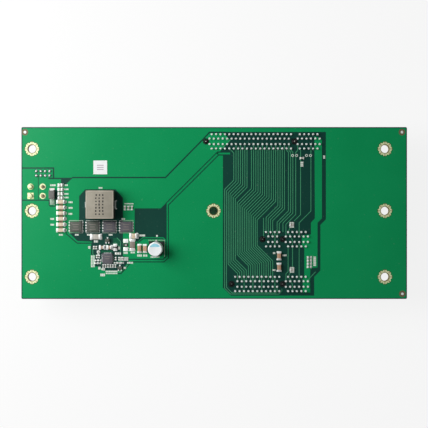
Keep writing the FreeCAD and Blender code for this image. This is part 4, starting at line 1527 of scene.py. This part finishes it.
@dataclass
class Label:
    """A white paper label with three faint plain lines."""

    bevel: float = 0.02
    ink: float = 0.012
    ink_sunk: float = 0.004
    line: Point = (3.0, 0.42)
    lines: int = 3
    line_pitch: float = 0.95

    def build(self) -> None:
        """Builds the label."""
        low, high = node_box("label")
        size, middle = high - low, (high + low) / 2
        work = Workpiece("label_dressed", Finishes.PAPER, Finishes.FAINT_INK)
        work.put(block(size, self.bevel, 1), middle)
        for i in range(self.lines):
            y = middle.y + (i - (self.lines - 1) / 2) * self.line_pitch
            work.put(block((*self.line, self.ink)), (middle.x, y, high.z - self.ink_sunk), 1)
        work.done(["label"])


@dataclass
class Fiducials:
    """Bright dots in rings of bare laminate, by which a machine finds the board."""

    dot: float = 0.6
    clear: float = 1.5
    places: tuple[Point, ...] = ((-85.9, 36.7), (85.2, 36.7), (85.4, -36.7))

    def build(self) -> None:
        """Builds the rings and dots."""
        work = Workpiece("fiducials", Finishes.FIBRE, Finishes.SOLDER)
        for x, y in self.places:
            work.put(disc(self.clear, HEIGHTS.copper + HEIGHTS.skin, sides=28), (x, y, TOP))
            work.put(disc(self.dot, HEIGHTS.land + 2 * HEIGHTS.skin, sides=20), (x, y, TOP), 1)
        work.done()


@dataclass
class SilkPrint:
    """Plain white print: frames, bars and rings, with no lettering."""

    line: float = 0.12
    switch_reach: float = 0.42
    can_reach: float = 0.45
    rear_reach: float = 0.35
    hoop: Point = (0.36, 0.62)
    dot: float = 0.45
    tick: Point = (0.5, 1.1)
    tick_gap: float = 0.75
    strokes: Point = (0.5, 0.9)
    stroke_share: float = 0.8
    least_rest: float = 0.2
    seed: int = 11

    BARS = (
        (-73.2, 12.6, 2.6, 0.8), (-67.1, 12.65, 1.5, 0.7), (-67.1, 10.77, 2.0, 0.7), (-67.1, 8.69, 2.0, 0.7),
        (-67.1, 7.03, 2.0, 0.7), (-65.2, 4.9, 1.9, 0.8), (-65.2, 2.3, 1.9, 0.8), (-65.2, -0.4, 1.9, 0.8),
        (-73.5, -2.7, 1.7, 0.8), (-73.5, -5.3, 1.7, 0.8), (-69.6, -9.9, 1.9, 0.7), (-51.6, 11.4, 1.8, 0.7),
        (-41.3, -2.7, 1.7, 0.8), (-38.7, 4.2, 4.2, 0.5), (-62.4, -9.9, 1.8, 0.7), (-57.0, -9.9, 1.6, 0.7),
        (-47.0, -9.9, 1.8, 0.7), (-53.7, -12.9, 1.9, 1.0), (-56.7, -15.6, 1.0, 1.3), (-43.2, -15.9, 0.9, 1.5),
        (-43.7, -18.4, 2.8, 1.1), (-52.6, -17.9, 1.0, 2.0), (-55.55, -21.9, 0.8, 5.6),
        (-54.6, -21.9, 0.7, 5.4), (-46.6, -26.5, 5.4, 0.7), (-46.6, -27.4, 5.4, 0.6),
        (-50.6, -28.1, 2.2, 1.2), (-52.1, -25.0, 1.1, 1.3), (-50.2, -25.5, 1.2, 1.3),
        (-40.6, -24.9, 1.2, 0.9), (-40.1, -18.1, 2.1, 0.9), (-37.0, -17.9, 2.0, 0.8),
        (-33.9, -19.3, 2.2, 1.0), (-31.2, -19.3, 2.1, 1.0), (-26.9, -19.95, 4.0, 0.7),
        (-32.8, -10.2, 2.9, 0.9), (-38.2, -22.6, 2.8, 0.8), (-41.2, -20.4, 4.4, 0.7),
        (-41.2, -21.3, 4.4, 0.6), (45.6, -21.9, 1.2, 4.4),
        (27.2, -18.2, 1.1, 0.8), (31.9, -19.2, 1.9, 0.8), (27.2, -25.9, 1.6, 0.7), (39.8, 22.2, 1.3, 2.4),
        (49.9, 25.4, 0.9, 1.6), (35.2, -4.45, 2.1, 0.7), (35.2, -6.3, 2.1, 0.7),
        (35.3, -24.9, 2.0, 0.7), (35.3, -26.75, 2.0, 0.7),
    )
    RINGS = ((35.6, 26.1), (37.4, 26.1), (41.9, 26.1), (43.7, 26.1))
    DOT = (-26.0, -10.4)

    def build(self) -> None:
        """Builds every mark of the print."""
        work = Workpiece("silk", Finishes.SILK)
        draw = random.Random(self.seed)
        for x, y, length, width in self.BARS:
            self.add_bar(work, draw, (x, y), length, width)
        for x, y in self.RINGS:
            work.put(ring(*self.hoop, HEIGHTS.print, steps=14), (x, y, TOP))
        work.put(disc(self.dot, HEIGHTS.print), (*self.DOT, TOP))
        for name in SWITCHES:
            self.add_frame(work, *node_box(f"{name}_body"), self.switch_reach, True)
        for name in INPUT_CAPACITORS:
            low, high = node_box(name)
            tick = (high.x + self.tick_gap, (low.y + high.y) / 2, TOP + HEIGHTS.print / 2)
            work.put(block((*self.tick, HEIGHTS.print)), tick)
        self.add_frame(work, *node_box("bulk_capacitor_base"), self.can_reach, False)
        for node in REAR_NODES:
            self.add_frame(work, *node_box(node), self.rear_reach, True, REAR - HEIGHTS.print)
        work.done()

    def add_bar(self, work: Workpiece, draw: random.Random, at: Point, length: float, width: float) -> None:
        """Adds a broken bar in place of lettering: strokes with small gaps.

        Args:
            work: The piece that takes it.
            draw: Source of the strokes' lengths.
            at: Middle of the bar.
            length: Its size along the board.
            width: Its size across the board.
        """
        upright = width > length
        run, thick = (width, length) if upright else (length, width)
        start = -run / 2
        while start < run / 2 - self.least_rest:
            stroke = min(draw.uniform(*self.strokes), run / 2 - start)
            shift = start + stroke / 2
            inked = stroke * self.stroke_share
            size = (thick, inked) if upright else (inked, thick)
            spot = (at[0], at[1] + shift) if upright else (at[0] + shift, at[1])
            work.put(block((*size, HEIGHTS.print)), (*spot, TOP + HEIGHTS.print / 2))
            start += stroke

    def add_frame(
        self, work: Workpiece, low: Vector, high: Vector, reach: float, closed: bool, level: float = TOP
    ) -> None:
        """Adds a thin frame round a part, or only the lines above and to the right of it.

        Args:
            work: The piece that takes it.
            low: The part's lowest corner.
            high: Its highest corner.
            reach: How far outside the part the lines run.
            closed: Whether the frame has all four lines.
            level: Height of the frame's lower face.
        """
        left, lower, right, upper = low.x - reach, low.y - reach, high.x + reach, high.y + reach
        paths = [((left, upper), (right, upper)), ((right, lower), (right, upper))]
        if closed:
            paths += [((left, lower), (left, upper)), ((left, lower), (right, lower))]
        for path in paths:
            work.put(ribbon(path, self.line, HEIGHTS.print), (0, 0, level))


@dataclass
class OpenPads:
    """Tinned pads with no part on them, and the dark field between them with one plain mark."""

    size: Point = (2.3, 1.8)
    height: float = 0.14
    bevel: float = 0.06
    places: tuple[Point, ...] = ((-40.1, -12.7), (-40.1, -16.4))
    field: Point = (2.3, 1.5)
    field_bevel: float = 0.02
    mark: Point = (0.9, 0.4)
    mark_lift: float = 0.7

    def build(self) -> None:
        """Builds the pads and the field."""
        work = Workpiece("open_pads", Finishes.SOLDER, Finishes.CAN_BASE, Finishes.SILK)
        for x, y in self.places:
            work.put(block((*self.size, self.height), self.bevel), (x, y, TOP + self.height / 2))
        (x, upper), (_, lower) = self.places
        middle = (upper + lower) / 2
        field = block((*self.field, HEIGHTS.print), self.field_bevel)
        work.put(field, (x, middle, TOP + HEIGHTS.print / 2), 1)
        work.put(block((*self.mark, HEIGHTS.print)), (x, middle, TOP + HEIGHTS.print * self.mark_lift), 2)
        work.done()


@dataclass
class Stage:
    """Floor, light and camera; lamps and floor in metres, the camera in millimetres above the board."""

    floor_side: float = 4.0
    floor_tint: float = 0.82
    floor_rough: float = 0.9
    glow: float = 0.85
    dark_radius: float = 0.005
    image: int = 428
    pixels_per_mm: float = 2.203
    sensor: float = 36.0
    camera_rise: float = 350.0
    camera_at: Point = (-0.09, -0.45)
    sky_side: float = 0.23
    sky_top: float = 0.04
    sky_limits: Point = (0.75, 0.97)

    WHITE = (1.0, 1.0, 1.0, 1.0)
    LAMPS = (
        ("key", (-0.27, 0.09, 0.22), 0.28, 1.56),
        ("fill", (0.3, -0.5, 0.6), 0.6, 0.3),
    )

    def floor(self) -> None:
        """Lays a pale floor whose camera view stays near white, except right under the board's middle."""
        bm = bmesh.new()
        bmesh.ops.create_grid(bm, x_segments=1, y_segments=1, size=self.floor_side / 2)
        mesh = bpy.data.meshes.new("floor")
        bm.to_mesh(mesh)
        bm.free()
        floor = bpy.data.objects.new("floor", mesh)
        bpy.context.scene.collection.objects.link(floor)
        mesh.materials.append(self.floor_material())

    def floor_material(self) -> bpy.types.Material:
        """Makes the floor's finish.

        Returns:
            The material.
        """
        material = bpy.data.materials.new("pale_floor")
        material.use_nodes = True
        bench = NodeBench(material.node_tree)
        nodes = material.node_tree.nodes
        shader = nodes["Principled BSDF"]
        shader.inputs["Base Color"].default_value = (*[self.floor_tint] * 3, 1.0)
        shader.inputs["Roughness"].default_value = self.floor_rough
        rays = bench.add("ShaderNodeLightPath").outputs
        seen = bench.sum("MAXIMUM", rays["Is Camera Ray"], rays["Is Glossy Ray"])
        seen = bench.sum("MAXIMUM", seen, rays["Is Transmission Ray"])
        far = bench.add("ShaderNodeVectorMath", {0: bench.place()}, operation="LENGTH").outputs["Value"]
        outside = bench.sum("GREATER_THAN", far, self.dark_radius)
        factor = bench.sum("MULTIPLY", bench.sum("MULTIPLY", seen, outside), self.glow)
        glow = bench.add("ShaderNodeEmission", {"Color": self.WHITE, "Strength": 1.0})
        mix = bench.add("ShaderNodeMixShader", {0: factor, 1: shader.outputs[0], 2: glow.outputs[0]})
        material.node_tree.links.new(mix.outputs[0], nodes["Material Output"].inputs["Surface"])
        return material

    def lamp(self, name: str, at: Size, side: float, power: float) -> None:
        """Hangs a soft square lamp that points at the board.

        Args:
            name: The lamp's name.
            at: Its place.
            side: Its side.
            power: Its power in watts.
        """
        data = bpy.data.lights.new(name, "AREA")
        data.size = side
        data.energy = power
        lamp = bpy.data.objects.new(name, data)
        lamp.location = at
        lamp.rotation_euler = (-Vector(at)).to_track_quat("-Z", "Y").to_euler()
        bpy.context.scene.collection.objects.link(lamp)

    def light(self) -> None:
        """Sets the lamps and a world that is darker straight above, where the camera hangs."""
        for lamp in self.LAMPS:
            self.lamp(*lamp)
        world = bpy.data.worlds.new("studio")
        bpy.context.scene.world = world
        world.use_nodes = True
        bench = NodeBench(world.node_tree)
        rise = bench.upright(bench.add("ShaderNodeTexCoord").outputs["Generated"])
        low, high = self.sky_limits
        limits = {"From Min": low, "From Max": high, "To Min": self.sky_side, "To Max": self.sky_top}
        tone = bench.add("ShaderNodeMapRange", {"Value": rise, **limits})
        background = world.node_tree.nodes["Background"]
        background.inputs["Color"].default_value = self.WHITE
        world.node_tree.links.new(tone.outputs[0], background.inputs["Strength"])

    def camera(self) -> None:
        """Hangs the camera straight above the board."""
        data = bpy.data.cameras.new("camera")
        data.sensor_width = self.sensor
        data.lens = self.sensor * self.camera_rise / (self.image / self.pixels_per_mm)
        camera = bpy.data.objects.new("camera", data)
        camera.location = Vector((*self.camera_at, TOP + self.camera_rise)) * MM
        bpy.context.scene.collection.objects.link(camera)
        bpy.context.scene.camera = camera

    def build(self) -> None:
        """Sets the stage."""
        bpy.context.scene.view_settings.view_transform = "Standard"
        self.floor()
        self.light()
        self.camera()


NODE_FINISHES = {
    "board": Finishes.BARE,
    "power_header_housing": Finishes.HEADER_PLASTIC,
    "signal_header_base": Finishes.HEADER_PLASTIC,
    "bulk_capacitor_base": Finishes.CAN_BASE,
}
FINISH_ENDINGS = {
    "slot_housing": Finishes.SLOT_PLASTIC,
    "_contacts": Finishes.CONTACT,
    "_pins": Finishes.TIN,
    "_leads": Finishes.TIN,
    "_pads": Finishes.TIN,
    "_terminal": Finishes.TIN,
}


def dress_nodes() -> None:
    """Gives each CAD node that stays in view its finish."""
    for name, node in frame["nodes"].items():
        finish = NODE_FINISHES.get(name)
        for ending, choice in FINISH_ENDINGS.items():
            if name.endswith(ending):
                finish = choice
        if finish:
            node.material_slots[0].material = finish.build()


def chip_rows() -> list[ChipRow]:
    """Lists every row of small chips.

    Returns:
        The rows.
    """
    rows = [
        ChipRow(name, ChipKind.CERAMIC, cap_share=0.14, solder_reach=0.45, solder_rise=0.95)
        for name in INPUT_CAPACITORS
    ]
    for name, sizes in (
        ("output_capacitor", {"cap_share": 0.14, "solder_reach": 0.45}),
        ("slot_capacitor", {"cap_share": 0.18, "solder_reach": 0.4, "solder_spread": 0.5}),
        ("drive_capacitor", {"cap_share": 0.36, "solder_reach": 0.45, "solder_spread": 0.6}),
    ):
        rows += [ChipRow(copy, ChipKind.BROWN, **sizes) for copy in numbered(name, 2)]
    rows += [
        ChipRow("bypass_capacitor", ChipKind.CERAMIC),
        ChipRow("sense_resistor", ChipKind.LIGHT, cap_share=0.22, solder_reach=0.25),
        ChipRow("bleed_resistor", ChipKind.WARM, cap_share=0.18, solder_reach=0.35),
        ChipRow("drive_resistor", ChipKind.RESISTOR, cap_share=0.36, solder_reach=0.55),
        ChipRow("input_chips", ChipKind.LIGHT, cap_share=0.3, solder_reach=0.3, solder_spread=0.1),
        ChipRow("pull_up_chips", ChipKind.RESISTOR, cap_share=0.36, solder_reach=0.3, solder_rise=0.15),
    ]
    return rows + [
        ChipRow(f"{name}_chips", ChipKind.PALE, solder_reach=0.2, solder_rise=0.12)
        for name in ("sense", "slot", "controller")
    ]


def moulded_bodies() -> list[MouldedBody]:
    """Lists every moulded package.

    Returns:
        The packages.
    """
    switches = [
        MouldedBody(f"{name}_body", Finishes.MOULD if i < 2 else Finishes.MOULD_PLUM, marks=3)
        for i, name in enumerate(SWITCHES)
    ]
    return switches + [
        MouldedBody("controller_body", Finishes.MOULD_PLUM, marks=2),
        MouldedBody("input_diode_body", Finishes.DIODE),
        MouldedBody("driver_transistor_body", Finishes.MOULD),
        MouldedBody("feedback_transistor_body", Finishes.MOULD),
    ]


def main() -> None:
    """Builds the board's looks and sets the stage."""
    logging.basicConfig(level=logging.INFO, format="%(message)s")
    dress_nodes()
    holes = MountingHoles()
    copper = CopperArt()
    copper.build_front(holes)
    copper.build_rear(holes)
    copper.build_tracks()
    holes.build()
    films = [SolderJoints(), LeadSolder(), FluxStain(), PegHighlightsAndShade(), Fiducials(), SilkPrint(), OpenPads()]
    parts = [Inductor(), BulkCapacitor(), Label()]
    for part in films + parts + moulded_bodies() + chip_rows():
        part.build()
    Stage().build()


if __name__ == "__main__":
    main()
